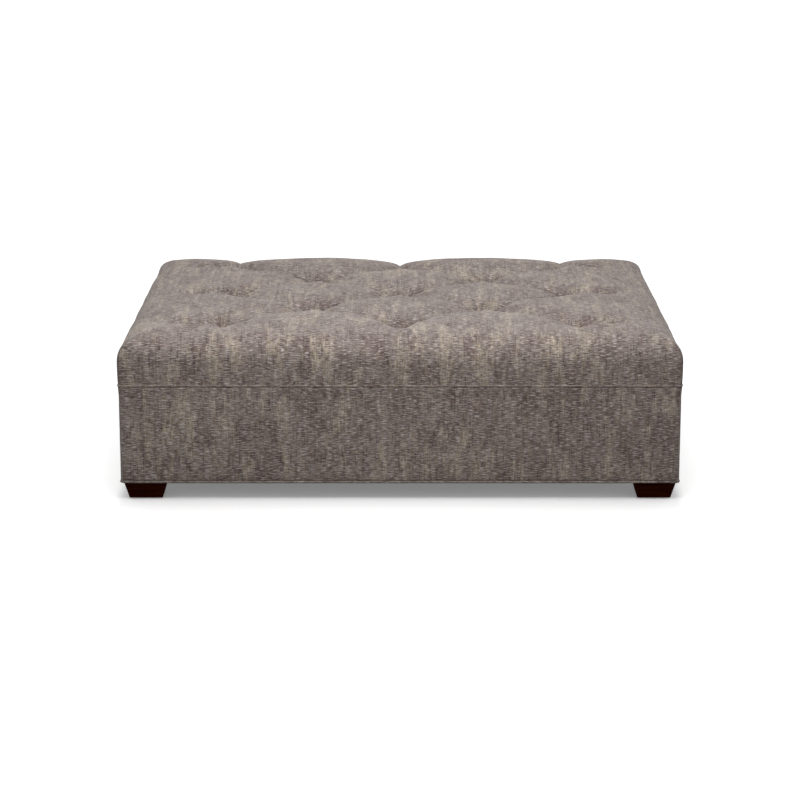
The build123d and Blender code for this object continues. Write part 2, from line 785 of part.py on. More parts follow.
front_wedge = polygon_prism(
    [(-out_x, -out_y), (out_x, -out_y), (in_x, -in_y), (-in_x, -in_y)], 0, crest
)
left_wedge = polygon_prism(
    [(-out_x, -out_y), (-in_x, -in_y), (-in_x, in_y), (-out_x, out_y)], 0, crest
)
wedges = {
    "front": front_wedge,
    "back": mirror(front_wedge, about=Plane.XZ),
    "left": left_wedge,
    "right": mirror(left_wedge, about=Plane.YZ),
}
parts["tack_strips"] = []
for name, wedge in wedges.items():
    parts["base_panel_" + name] = cloth & wedge
    parts["base_padding_" + name] = padding & wedge
    parts["tack_strips"].append(strip & wedge)

# Dust cover under the frame
dust_low = span_box(
    (dust_cover_edge - half_w, dust_cover_edge - half_d, foot_top),
    (half_w - dust_cover_edge, half_d - dust_cover_edge, dust_cover_top),
)
way = extrude(bolt_way, amount=crest)
bolt_ways = [Pos(x, y, 0) * way for x, y in foot_places.values()]
parts["dust_cover"] = drill(dust_low, staple_holes + bolt_ways)


def solids_of(shape):
    """Every solid of a piece, whether it is one shape or a list of them."""
    shapes = shape if isinstance(shape, list) else [shape]
    return [solid for item in shapes for solid in item.solids()]


os.makedirs("parts", exist_ok=True)
for name, shape in parts.items():
    solids = solids_of(shape)
    print(name, len(solids), round(sum(solid.volume for solid in solids)))
    whole = solids[0] if len(solids) == 1 else Compound(children=solids)
    export_step(whole, os.path.join("parts", name + ".step"))
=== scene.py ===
"""An ottoman coffee table: a diamond-tufted top in heathered chenille, a padded base between two
piped seams, and four dark tapered feet. Metres, +Z up, the front faces -Y."""

import json
import logging
import math
from dataclasses import dataclass, field
from enum import Enum
from functools import cache

import bpy
import numpy as np
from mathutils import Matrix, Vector


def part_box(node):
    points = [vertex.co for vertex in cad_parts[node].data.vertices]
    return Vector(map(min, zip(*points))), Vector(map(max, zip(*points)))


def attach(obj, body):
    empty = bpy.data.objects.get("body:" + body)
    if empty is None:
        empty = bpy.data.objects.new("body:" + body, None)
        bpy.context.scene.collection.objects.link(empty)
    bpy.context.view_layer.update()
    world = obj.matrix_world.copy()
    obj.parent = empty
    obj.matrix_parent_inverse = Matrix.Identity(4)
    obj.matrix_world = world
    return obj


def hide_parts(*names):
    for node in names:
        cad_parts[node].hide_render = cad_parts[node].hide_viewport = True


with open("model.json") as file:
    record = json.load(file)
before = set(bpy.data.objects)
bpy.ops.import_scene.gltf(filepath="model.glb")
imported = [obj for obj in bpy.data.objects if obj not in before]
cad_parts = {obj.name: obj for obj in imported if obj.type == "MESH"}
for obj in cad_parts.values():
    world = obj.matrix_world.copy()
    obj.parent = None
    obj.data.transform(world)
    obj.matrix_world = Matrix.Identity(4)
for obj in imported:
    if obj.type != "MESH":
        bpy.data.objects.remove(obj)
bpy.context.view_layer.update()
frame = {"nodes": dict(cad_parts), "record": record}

MM = 0.001
BODY = "root"
CLOTH_MAP = "cloth"
SHADE = "shade"
FOLDED_EDGE = math.radians(60)
NOISE_CELLS = 512
TOUCHING = 1e-6
TINY = 1e-9
WHITE = (1.0, 1.0, 1.0, 1.0)
log = logging.getLogger("ottoman")

Array = np.ndarray
Piece = bpy.types.Object
Value = "Signal | float"
Paintable = "Signal | Triple"
Pair = tuple[float, float]
Triple = tuple[float, float, float]


# Shader maths


class Signal:
    """An output socket that takes part in sums and products."""

    def __init__(self, paint: "Paint", socket: bpy.types.NodeSocket) -> None:
        """Wraps a socket.

        Args:
            paint: the node tree that it belongs to.
            socket: the output socket.
        """
        self.paint = paint
        self.socket = socket

    def _math(self, operation: str, first: Value, second: Value) -> "Signal":
        """Output of a new Math node."""
        return self.paint.node("ShaderNodeMath", {"operation": operation}, {0: first, 1: second})

    def __add__(self, other: Value) -> "Signal":
        """Sum."""
        return self._math("ADD", self, other)

    def __radd__(self, other: Value) -> "Signal":
        """Sum with a number on the left."""
        return self._math("ADD", other, self)

    def __sub__(self, other: Value) -> "Signal":
        """Difference."""
        return self._math("SUBTRACT", self, other)

    def __rsub__(self, other: Value) -> "Signal":
        """Difference with a number on the left."""
        return self._math("SUBTRACT", other, self)

    def __mul__(self, other: Value) -> "Signal":
        """Product."""
        return self._math("MULTIPLY", self, other)

    def __rmul__(self, other: Value) -> "Signal":
        """Product with a number on the left."""
        return self._math("MULTIPLY", other, self)

    def size(self) -> "Signal":
        """Size without its sign."""
        return self._math("ABSOLUTE", self, 0.0)

    def largest(self, other: Value) -> "Signal":
        """Larger of two values."""
        return self._math("MAXIMUM", self, other)


@dataclass(frozen=True)
class Pattern:
    """Noise with its features per metre along each axis, and a shift that tells it apart."""

    scale: Triple
    offset: float
    detail: float = 2.0
    roughness: float = 0.5


@dataclass(frozen=True)
class Cover:
    """Range of a pattern over which something comes in, and its greatest share."""

    low: float
    high: float
    share: float = 1.0


class Paint:
    """The node tree of a procedural material or of the world."""

    def __init__(self, owner: "bpy.types.Material | bpy.types.World") -> None:
        """Empties the owner's node tree.

        Args:
            owner: the material or the world.
        """
        owner.use_nodes = True
        self.owner = owner
        self.tree = owner.node_tree
        self.tree.nodes.clear()

    def node(
        self,
        kind: str,
        settings: dict | None = None,
        inputs: dict | None = None,
        output: int | str = 0,
    ) -> Signal:
        """Adds any node.

        Args:
            kind: the node's type.
            settings: its properties.
            inputs: values or links of its sockets, by name or number.
            output: which output is returned.

        Returns:
            That output.
        """
        made = self.tree.nodes.new(kind)
        for key, value in (settings or {}).items():
            setattr(made, key, value)
        for key, value in (inputs or {}).items():
            if isinstance(value, Signal):
                self.tree.links.new(value.socket, made.inputs[key])
            else:
                made.inputs[key].default_value = value
        return Signal(self, made.outputs[output] if made.outputs else None)

    def cloth_place(self) -> Signal:
        """Place on the cloth, in metres along its weft and its warp."""
        return self.node("ShaderNodeUVMap", {"uv_map": CLOTH_MAP})

    def object_place(self) -> Signal:
        """Place in the object's own coordinates."""
        return self.node("ShaderNodeTexCoord", output="Object")

    def attribute(self, name: str) -> Signal:
        """A number stored on the mesh."""
        return self.node("ShaderNodeAttribute", {"attribute_name": name}, output="Fac")

    def noise(self, place: Signal, pattern: Pattern) -> Signal:
        """Adds a noise pattern.

        Args:
            place: the coordinates.
            pattern: the pattern.

        Returns:
            A value about one half.
        """
        spread = {0: place, 1: pattern.scale, 2: (pattern.offset,) * 3}
        settings = {
            "Vector": self.node("ShaderNodeVectorMath", {"operation": "MULTIPLY_ADD"}, spread),
            "Scale": 1.0,
            "Detail": pattern.detail,
            "Roughness": pattern.roughness,
        }
        return self.node("ShaderNodeTexNoise", {"noise_dimensions": "3D"}, settings)

    def cover(self, value: Signal, cover: Cover) -> Signal:
        """Adds a smooth step.

        Args:
            value: the value that it follows.
            cover: the range of the step and its height.

        Returns:
            A share from 0 to the cover's greatest one.
        """
        ends = {0: value, 1: cover.low, 2: cover.high, 3: 0.0, 4: cover.share}
        return self.node("ShaderNodeMapRange", {"interpolation_type": "SMOOTHSTEP"}, ends)

    def about_one(self, value: Signal, spread: float) -> Signal:
        """Factor that varies about 1 as a value varies about one half."""
        return (1 - spread / 2) + spread * value

    def mix(self, share: Value, first: Paintable, second: Paintable) -> Signal:
        """Colour between two others.

        Args:
            share: share of the second colour.
            first: the first colour.
            second: the second colour.

        Returns:
            The colour.
        """
        ends = [end if isinstance(end, Signal) else (*end, 1.0) for end in (first, second)]
        sockets = {0: share, 6: ends[0], 7: ends[1]}
        return self.node("ShaderNodeMix", {"data_type": "RGBA"}, sockets, 2)

    def tinted(self, colour: Paintable, level: Signal) -> Signal:
        """Colour times a grey level."""
        return self.node("ShaderNodeVectorMath", {"operation": "SCALE"}, {0: colour, 3: level})

    def bump(self, height: Signal, strength: float, distance: float) -> Signal:
        """Normal bent by a height."""
        settings = {"Strength": strength, "Distance": distance, "Height": height}
        return self.node("ShaderNodeBump", {}, settings)

    def finish(self, **inputs: object) -> bpy.types.Material:
        """Ends a material in a Principled surface.

        Args:
            inputs: socket values, with underscores for the spaces of the names.

        Returns:
            The material.
        """
        named = {key.replace("_", " "): value for key, value in inputs.items()}
        surface = self.node("ShaderNodeBsdfPrincipled", {}, named)
        self.node("ShaderNodeOutputMaterial", {}, {"Surface": surface})
        return self.owner


def material_paint(name: str) -> Paint:
    """Paint of a new material."""
    return Paint(bpy.data.materials.new(name))


# Finishes


@dataclass(frozen=True)
class Chenille:
    """Heathered chenille: fine cross slubs, pale upright streaks and brown blotches."""

    name: str = "chenille"
    ground: Triple = (0.270, 0.220, 0.194)
    dark: Triple = (0.055, 0.038, 0.034)
    slub: Triple = (0.640, 0.580, 0.570)
    streak: Triple = (0.540, 0.460, 0.350)
    brown: Triple = (0.165, 0.114, 0.100)
    slow: Pattern = Pattern((3.1, 3.7, 1), 3.0)
    blotches: Pattern = Pattern((17, 12, 1), 11.0, 3, 0.65)
    patches: Pattern = Pattern((8, 5, 1), 17.0)
    narrow_streaks: Pattern = Pattern((66, 13, 1), 23.0, 3, 0.6)
    wide_streaks: Pattern = Pattern((30, 6, 1), 27.0, 3, 0.66)
    clouds: Pattern = Pattern((44, 58, 1), 29.0, 2, 0.6)
    warp: Pattern = Pattern((235, 13, 1), 31.0, 2, 0.6)
    dashes: Pattern = Pattern((60, 430, 1), 37.0)
    slubs: Pattern = Pattern((66, 450, 1), 41.0)
    grain: Pattern = Pattern((270, 370, 1), 43.0, 1)
    weft: Pattern = Pattern((90, 700, 1), 47.0, 1)
    fuzz: Pattern = Pattern((900, 900, 1), 53.0, 1)
    brown_blotches: Cover = Cover(0.45, 0.61, 0.66)
    darker_parts: Cover = Cover(0.35, 0.70, 0.12)
    in_narrow_streak: Cover = Cover(0.52, 0.66, 0.6)
    in_wide_streak: Cover = Cover(0.51, 0.60, 0.9)
    pale_warps: Cover = Cover(0.45, 0.57, 0.82)
    dark_dashes: Cover = Cover(0.51, 0.62, 0.70)
    dark_warps: Cover = Cover(0.53, 0.63, 0.50)
    pale_slubs: Cover = Cover(0.54, 0.64, 0.66)
    raised_slubs: Cover = Cover(0.54, 0.70, 0.6)
    sunk_dashes: Cover = Cover(0.50, 0.66, 0.4)
    patchiness: float = 0.30
    pale_between: float = 0.18
    streak_share: float = 0.80
    weft_spread: float = 0.24
    fuzz_spread: float = 0.14
    cloud_spread: float = 0.76
    grain_spread: float = 0.72
    weft_rise: float = 0.5
    warp_rise: float = 0.3
    fuzz_rise: float = 0.25
    bump_strength: float = 0.6
    relief: float = 0.9 * MM
    roughness: float = 0.86
    weft_roughness: float = 0.1
    gloss: float = 0.15
    sheen: float = 0.22
    sheen_roughness: float = 0.5
    sheen_tint: tuple = (1.0, 0.95, 0.94, 1.0)

    def build(self) -> bpy.types.Material:
        """Paints the cloth on its own map.

        Returns:
            The material.
        """
        p = material_paint(self.name)
        place = p.cloth_place()
        warp, weft, fuzz = (p.noise(place, kind) for kind in (self.warp, self.weft, self.fuzz))
        dashes, slubs = p.noise(place, self.dashes), p.noise(place, self.slubs)
        patchy = self.patchiness * (p.noise(place, self.patches) - 0.5)
        narrow = p.cover(p.noise(place, self.narrow_streaks) + patchy, self.in_narrow_streak)
        wide = p.cover(p.noise(place, self.wide_streaks) + patchy, self.in_wide_streak)
        pale = (narrow + wide) * (self.pale_between + p.cover(warp, self.pale_warps))
        colour = self.ground
        for share, other in (
            (p.cover(p.noise(place, self.blotches), self.brown_blotches), self.brown),
            (p.cover(p.noise(place, self.slow), self.darker_parts), self.dark),
            (pale * self.streak_share, self.streak),
            (p.cover(dashes, self.dark_dashes), self.dark),
            (p.cover(warp, self.dark_warps), self.dark),
            (p.cover(slubs, self.pale_slubs), self.slub),
        ):
            colour = p.mix(share, colour, other)
        level = p.attribute(SHADE)
        for value, spread in (
            (weft, self.weft_spread),
            (fuzz, self.fuzz_spread),
            (p.noise(place, self.clouds), self.cloud_spread),
            (p.noise(place, self.grain), self.grain_spread),
        ):
            level = level * p.about_one(value, spread)
        height = weft * self.weft_rise + warp * self.warp_rise + fuzz * self.fuzz_rise
        height = height + p.cover(slubs, self.raised_slubs) - p.cover(dashes, self.sunk_dashes)
        return p.finish(
            Base_Color=p.tinted(colour, level),
            Roughness=self.roughness + self.weft_roughness * weft,
            Normal=p.bump(height, self.bump_strength, self.relief),
            Specular_IOR_Level=self.gloss,
            Sheen_Weight=self.sheen,
            Sheen_Roughness=self.sheen_roughness,
            Sheen_Tint=self.sheen_tint,
        )


@dataclass(frozen=True)
class StainedWood:
    """Dark stained hardwood with a satin coat."""

    name: str = "dark_wood"
    dark: Triple = (0.0160, 0.0022, 0.0003)
    light: Triple = (0.0420, 0.0066, 0.0010)
    grain: Pattern = Pattern((9, 160, 160), 5.0, 4, 0.6)
    pores: Pattern = Pattern((60, 900, 900), 9.0)
    light_grain: Cover = Cover(0.35, 0.68)
    dark_pores: Cover = Cover(0.60, 0.75, 0.5)
    pore_rise: float = 0.4
    bump_strength: float = 0.25
    relief: float = 0.4 * MM
    roughness: float = 0.42
    grain_roughness: float = 0.18
    gloss: float = 0.01

    def build(self) -> bpy.types.Material:
        """Paints the wood with its grain along X.

        Returns:
            The material.
        """
        p = material_paint(self.name)
        place = p.object_place()
        grain, pores = p.noise(place, self.grain), p.noise(place, self.pores)
        colour = p.mix(p.cover(grain, self.light_grain), self.dark, self.light)
        return p.finish(
            Base_Color=p.mix(p.cover(pores, self.dark_pores), colour, self.dark),
            Roughness=self.roughness + self.grain_roughness * grain,
            Normal=p.bump(grain + self.pore_rise * pores, self.bump_strength, self.relief),
            Specular_IOR_Level=self.gloss,
        )


@dataclass(frozen=True)
class Timber:
    """Bare wood: planed boards, or plywood when it has plies."""

    name: str
    light: Triple = (0.62, 0.45, 0.28)
    dark: Triple = (0.42, 0.27, 0.15)
    has_plies: bool = False
    grain: Pattern = Pattern((4, 60, 60), 2.0, 4, 0.6)
    pores: Pattern = Pattern((30, 500, 500), 7.0)
    plies: Pattern = Pattern((2, 2, 700), 13.0, 0)
    dark_grain: Cover = Cover(0.35, 0.65, 0.7)
    dark_pores: Cover = Cover(0.55, 0.75, 0.2)
    dark_plies: Cover = Cover(0.45, 0.55, 0.35)
    face_share: float = 0.6
    bump_strength: float = 0.3
    relief: float = 0.5 * MM
    roughness: float = 0.55
    grain_roughness: float = 0.25

    def build(self) -> bpy.types.Material:
        """Paints the wood with its grain along X.

        Returns:
            The material.
        """
        p = material_paint(self.name)
        place = p.object_place()
        grain, pores = p.noise(place, self.grain), p.noise(place, self.pores)
        share = p.cover(grain, self.dark_grain) + p.cover(pores, self.dark_pores)
        if self.has_plies:
            plies = p.cover(p.noise(place, self.plies), self.dark_plies)
            share = share * self.face_share + plies
        return p.finish(
            Base_Color=p.mix(share, self.light, self.dark),
            Roughness=self.roughness + self.grain_roughness * grain,
            Normal=p.bump(grain + pores, self.bump_strength, self.relief),
        )


@dataclass(frozen=True)
class Soft:
    """Foam, fibre, card, twine or nylon with a speckled surface."""

    name: str
    light: Triple
    dark: Triple
    scale: Triple = (400, 400, 400)
    relief: float = 0.8 * MM
    roughness: float = 0.85
    offset: float = 4.0
    detail: float = 3.0
    fineness: float = 0.6
    slow_scale: float = 0.06
    slow_offset: float = 8.0
    dark_specks: Cover = Cover(0.35, 0.65, 0.7)
    dark_parts: Cover = Cover(0.30, 0.70, 0.3)
    bump_strength: float = 0.6
    speck_roughness: float = 0.1

    def build(self) -> bpy.types.Material:
        """Paints the surface on the object's coordinates.

        Returns:
            The material.
        """
        p = material_paint(self.name)
        place = p.object_place()
        speck = p.noise(place, Pattern(self.scale, self.offset, self.detail, self.fineness))
        slow_scale = tuple(self.slow_scale * scale for scale in self.scale)
        slow = p.noise(place, Pattern(slow_scale, self.slow_offset))
        share = p.cover(speck, self.dark_specks) + p.cover(slow, self.dark_parts)
        return p.finish(
            Base_Color=p.mix(share, self.light, self.dark),
            Roughness=self.roughness + self.speck_roughness * speck,
            Normal=p.bump(speck, self.bump_strength, self.relief),
        )


@dataclass(frozen=True)
class Metal:
    """Zinc-plated steel with faint drawing marks."""

    name: str = "zinc_steel"
    light: Triple = (0.66, 0.66, 0.67)
    dark: Triple = (0.50, 0.50, 0.52)
    marks: Pattern = Pattern((300, 300, 2500), 3.0)
    dark_marks: Cover = Cover(0.3, 0.7)
    roughness: float = 0.28
    mark_roughness: float = 0.2

    def build(self) -> bpy.types.Material:
        """Paints the metal on the object's coordinates.

        Returns:
            The material.
        """
        p = material_paint(self.name)
        marks = p.noise(p.object_place(), self.marks)
        return p.finish(
            Base_Color=p.mix(p.cover(marks, self.dark_marks), self.light, self.dark),
            Metallic=1.0,
            Roughness=self.roughness + self.mark_roughness * marks,
        )


@dataclass(frozen=True)
class DottedCloth:
    """Black spun cloth with its pressed dots."""

    name: str = "dust_cloth"
    dark: Triple = (0.012, 0.012, 0.013)
    light: Triple = (0.040, 0.040, 0.042)
    pressed: Triple = (0.008, 0.008, 0.009)
    fibres: Pattern = Pattern((700, 700, 700), 6.0, 3, 0.6)
    dots_per_metre: float = 420.0
    dot_disorder: float = 0.15
    light_fibres: Cover = Cover(0.35, 0.70, 0.6)
    between_dots: Cover = Cover(0.18, 0.34)
    fibre_rise: float = 0.4
    bump_strength: float = 0.5
    relief: float = 0.3 * MM
    roughness: float = 0.8
    fibre_roughness: float = 0.1

    def build(self) -> bpy.types.Material:
        """Paints the cloth on the object's coordinates.

        Returns:
            The material.
        """
        p = material_paint(self.name)
        place = p.object_place()
        fibres = p.noise(place, self.fibres)
        grid = {"Vector": place, "Scale": self.dots_per_metre, "Randomness": self.dot_disorder}
        cells = p.node("ShaderNodeTexVoronoi", {"feature": "F1"}, grid, "Distance")
        between = p.cover(cells, self.between_dots)
        colour = p.mix(p.cover(fibres, self.light_fibres), self.dark, self.light)
        return p.finish(
            Base_Color=p.mix(between, self.pressed, colour),
            Roughness=self.roughness + self.fibre_roughness * fibres,
            Normal=p.bump(between + self.fibre_rise * fibres, self.bump_strength, self.relief),
        )


class Slot(Enum):
    """Material slots of the record."""

    CHENILLE = "chenille"
    DARK_WOOD = "dark_wood"
    FRAME_WOOD = "frame_wood"
    PLYWOOD = "plywood"
    FOAM = "foam"
    FIBRE = "fibre"
    DUST_CLOTH = "dust_cloth"
    CARD = "card"
    TWINE = "twine"
    ZINC_STEEL = "zinc_steel"
    NYLON = "nylon"


FINISHES = {
    Slot.CHENILLE: Chenille(),
    Slot.DARK_WOOD: StainedWood(),
    Slot.FRAME_WOOD: Timber("frame_wood"),
    Slot.PLYWOOD: Timber("plywood", (0.66, 0.50, 0.32), (0.40, 0.27, 0.16), True),
    Slot.FOAM: Soft("foam", (0.86, 0.82, 0.62), (0.74, 0.68, 0.46)),
    Slot.FIBRE: Soft("fibre", (0.90, 0.90, 0.90), (0.74, 0.74, 0.74), (150, 150, 60)),
    Slot.DUST_CLOTH: DottedCloth(),
    Slot.CARD: Soft("card", (0.50, 0.38, 0.24), (0.36, 0.26, 0.16)),
    Slot.TWINE: Soft("twine", (0.72, 0.65, 0.50), (0.50, 0.43, 0.30), (900, 900, 300)),
    Slot.ZINC_STEEL: Metal(),
    Slot.NYLON: Soft(
        "nylon", (0.82, 0.82, 0.78), (0.70, 0.70, 0.66), (60, 60, 60), 0.2 * MM, 0.35
    ),
}


@cache
def material(slot: Slot) -> bpy.types.Material:
    """A slot's material, built once."""
    return FINISHES[slot].build()


# Meshes


def smooth_noise(x: Array, y: Array, pitch: float, seed: int) -> Array:
    """Seeded random field between -1 and 1, smooth at the scale of its pitch.

    Args:
        x: first coordinates.
        y: second coordinates.
        pitch: distance between the random values.
        seed: the seed.

    Returns:
        The field's values.
    """
    table = np.random.default_rng(seed).uniform(-1, 1, (NOISE_CELLS, NOISE_CELLS))
    u, v = x / pitch + NOISE_CELLS / 2, y / pitch + NOISE_CELLS / 2
    i, j = np.floor(u).astype(int), np.floor(v).astype(int)
    fu, fv = (t * t * (3 - 2 * t) for t in (u - i, v - j))
    i0, j0, i1, j1 = (n % NOISE_CELLS for n in (i, j, i + 1, j + 1))
    low = table[i0, j0] * (1 - fu) + table[i1, j0] * fu
    high = table[i0, j1] * (1 - fu) + table[i1, j1] * fu
    return low * (1 - fv) + high * fv


def step(value: Array | float, low: float, high: float) -> Array:
    """Smooth step from 0 at a low value to 1 at a high one."""
    t = np.clip((value - low) / (high - low), 0, 1)
    return t * t * (3 - 2 * t)


def grid_quads(rows: int, count: int, closed: bool = False) -> tuple[Array, Array, Array]:
    """Quads of a grid of points.

    Args:
        rows: how many rows of points there are.
        count: points in each row.
        closed: whether each row closes on itself.

    Returns:
        The point numbers, the row and the place in it, by quad and corner.
    """
    j, i = np.meshgrid(np.arange(rows - 1), np.arange(count - 1 + closed), indexing="ij")
    row = np.stack([j, j, j + 1, j + 1], -1).reshape(-1, 4)
    place = np.stack([i, i + 1, i + 1, i], -1).reshape(-1, 4)
    return row * count + place % count, row, place


def mesh_piece(
    name: str, points: Array, faces: Array, cloth: Array | None = None, shade: Array | None = None
) -> Piece:
    """Object from points and faces, with its cloth map and shade.

    Args:
        name: the piece's name.
        points: one row for each point.
        faces: one row of point numbers for each face, -1 where it has fewer corners.
        cloth: cloth coordinates, by face and corner.
        shade: a grey level for each point.

    Returns:
        The object.
    """
    mesh = bpy.data.meshes.new(name)
    mesh.from_pydata(points.tolist(), [], [[i for i in row if i >= 0] for row in faces.tolist()])
    if cloth is not None:
        kept = cloth[faces >= 0].astype(np.float32)
        mesh.uv_layers.new(name=CLOTH_MAP).data.foreach_set("uv", kept.ravel())
    levels = np.ones(len(points)) if shade is None else shade
    layer = mesh.attributes.new(SHADE, "FLOAT", "POINT")
    layer.data.foreach_set("value", levels.astype(np.float32))
    mesh.shade_smooth()
    mesh.update()
    mesh.set_sharp_from_angle(angle=FOLDED_EDGE)
    piece = bpy.data.objects.new(name, mesh)
    bpy.context.scene.collection.objects.link(piece)
    return piece


def apply_modifier(piece: Piece, kind: str, **settings: object) -> None:
    """Adds a modifier and applies it.

    Args:
        piece: the piece, which stays selected alone.
        kind: the modifier's type.
        settings: its properties.
    """
    bpy.ops.object.select_all(action="DESELECT")
    piece.select_set(True)
    bpy.context.view_layer.objects.active = piece
    modifier = piece.modifiers.new(kind.lower(), kind)
    for key, value in settings.items():
        setattr(modifier, key, value)
    bpy.ops.object.modifier_apply(modifier=modifier.name)


def dress(piece: Piece, slot: Slot, *nodes: str) -> Piece:
    """Gives a new piece its finish, its body and the nodes that it stands for.

    Args:
        piece: the piece.
        slot: its material slot.
        nodes: CAD nodes that it replaces.

    Returns:
        The piece.
    """
    piece.data.materials.clear()
    piece.data.materials.append(material(slot))
    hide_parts(*nodes)
    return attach(piece, BODY)


@dataclass
class RoundedLoop:
    """Closed plan loop of a rounded rectangle, cut into four sides at its corners' middles."""

    steps_x: int
    steps_y: int
    arc_steps: int = 12

    def points(self, half_x: float, half_y: float, radius: float) -> Array:
        """Points of the loop, from the middle of the front left corner along the front.

        Args:
            half_x: half the width.
            half_y: half the depth.
            radius: radius of the corners.

        Returns:
            One row of X and Y for each point.
        """
        half = self.arc_steps // 2
        angles = np.radians(45.0) * np.arange(half) / half
        inner = np.array([half_x - radius, half_y - radius])
        corners = [(-1, -1, 225), (1, -1, 315), (1, 1, 45), (-1, 1, 135)]
        found = []
        for side, (*signs, start) in enumerate(corners):
            centre, after = inner * signs, inner * corners[(side + 1) % 4][:2]
            first, out = np.radians(start) + angles, np.radians(start + 45)
            shift = radius * np.array([np.cos(out), np.sin(out)])
            count = (self.steps_x, self.steps_y)[side % 2]
            t = (np.arange(count) / count)[:, None]
            last = out + angles
            found.append(centre + radius * np.column_stack([np.cos(first), np.sin(first)]))
            found.append((centre + shift) * (1 - t) + (after + shift) * t)
            found.append(after + radius * np.column_stack([np.cos(last), np.sin(last)]))
        return np.concatenate(found)

    def distances(self, loop: Array) -> Array:
        """Distance along a loop at each point, and its whole length at the end."""
        closed = np.vstack([loop, loop[:1]])
        return np.append(0.0, np.cumsum(np.linalg.norm(np.diff(closed, axis=0), axis=1)))

    def side(self, number: int) -> range:
        """Numbers of the points of the front, right, back or left side, ends included.

        Args:
            number: number of the side.

        Returns:
            The numbers, the last of which may be the loop's first point again.
        """
        counts = [self.arc_steps + n for n in (self.steps_x, self.steps_y) * 2]
        start = sum(counts[:number])
        return range(start, start + counts[number] + 1)


# The tufted top


@dataclass(frozen=True)
class Crease:
    """Line of a crease in plan."""

    start: Pair
    end: Pair

    def against(self, x: Array, y: Array) -> tuple[Array, Array, Array]:
        """Where points lie against the crease.

        Args:
            x: X of the points.
            y: Y of the points.

        Returns:
            The distance to the crease, and along it to each end.
        """
        run = np.subtract(self.end, self.start)
        length = float(np.hypot(*run))
        aside, ahead = x - self.start[0], y - self.start[1]
        t = np.clip((aside * run[0] + ahead * run[1]) / length**2, 0, 1)
        return np.hypot(aside - t * run[0], ahead - t * run[1]), t * length, (1 - t) * length


@dataclass(frozen=True)
class Fading:
    """How a crease fades towards the border: its depth, where, and how much it widens."""

    depth: float
    start: float = 0.0
    stop: float = 1.0
    widening: float = 0.8


@dataclass(frozen=True)
class Valley:
    """Valley from a back tuft over the shoulder: its side, its sharp and its broad depth."""

    side: int
    sharp: float
    broad: float


@dataclass(frozen=True)
class Level:
    """A loop below the grid: outset from it, height, shares of the normal, and distance."""

    out: float
    height: float
    outward: float
    upward: float
    travel: float


@dataclass(frozen=True)
class Rim:
    """Border of the grid: point numbers, plan, depth and wave there, and side of each."""

    numbers: Array
    plan: Array
    depth: Array
    wave: Array
    side: Array


@dataclass
class Skin:
    """Points and faces of one side of the cover, and the numbers of its lowest loop."""

    points: list[Array]
    faces: list[Array]
    cloth: list[Array]
    shade: list[Array]
    ring: Array

    def joined(self) -> tuple[Array, ...]:
        """Points, faces, cloth coordinates and shades as single arrays."""
        return tuple(map(np.concatenate, (self.points, self.faces, self.cloth, self.shade)))


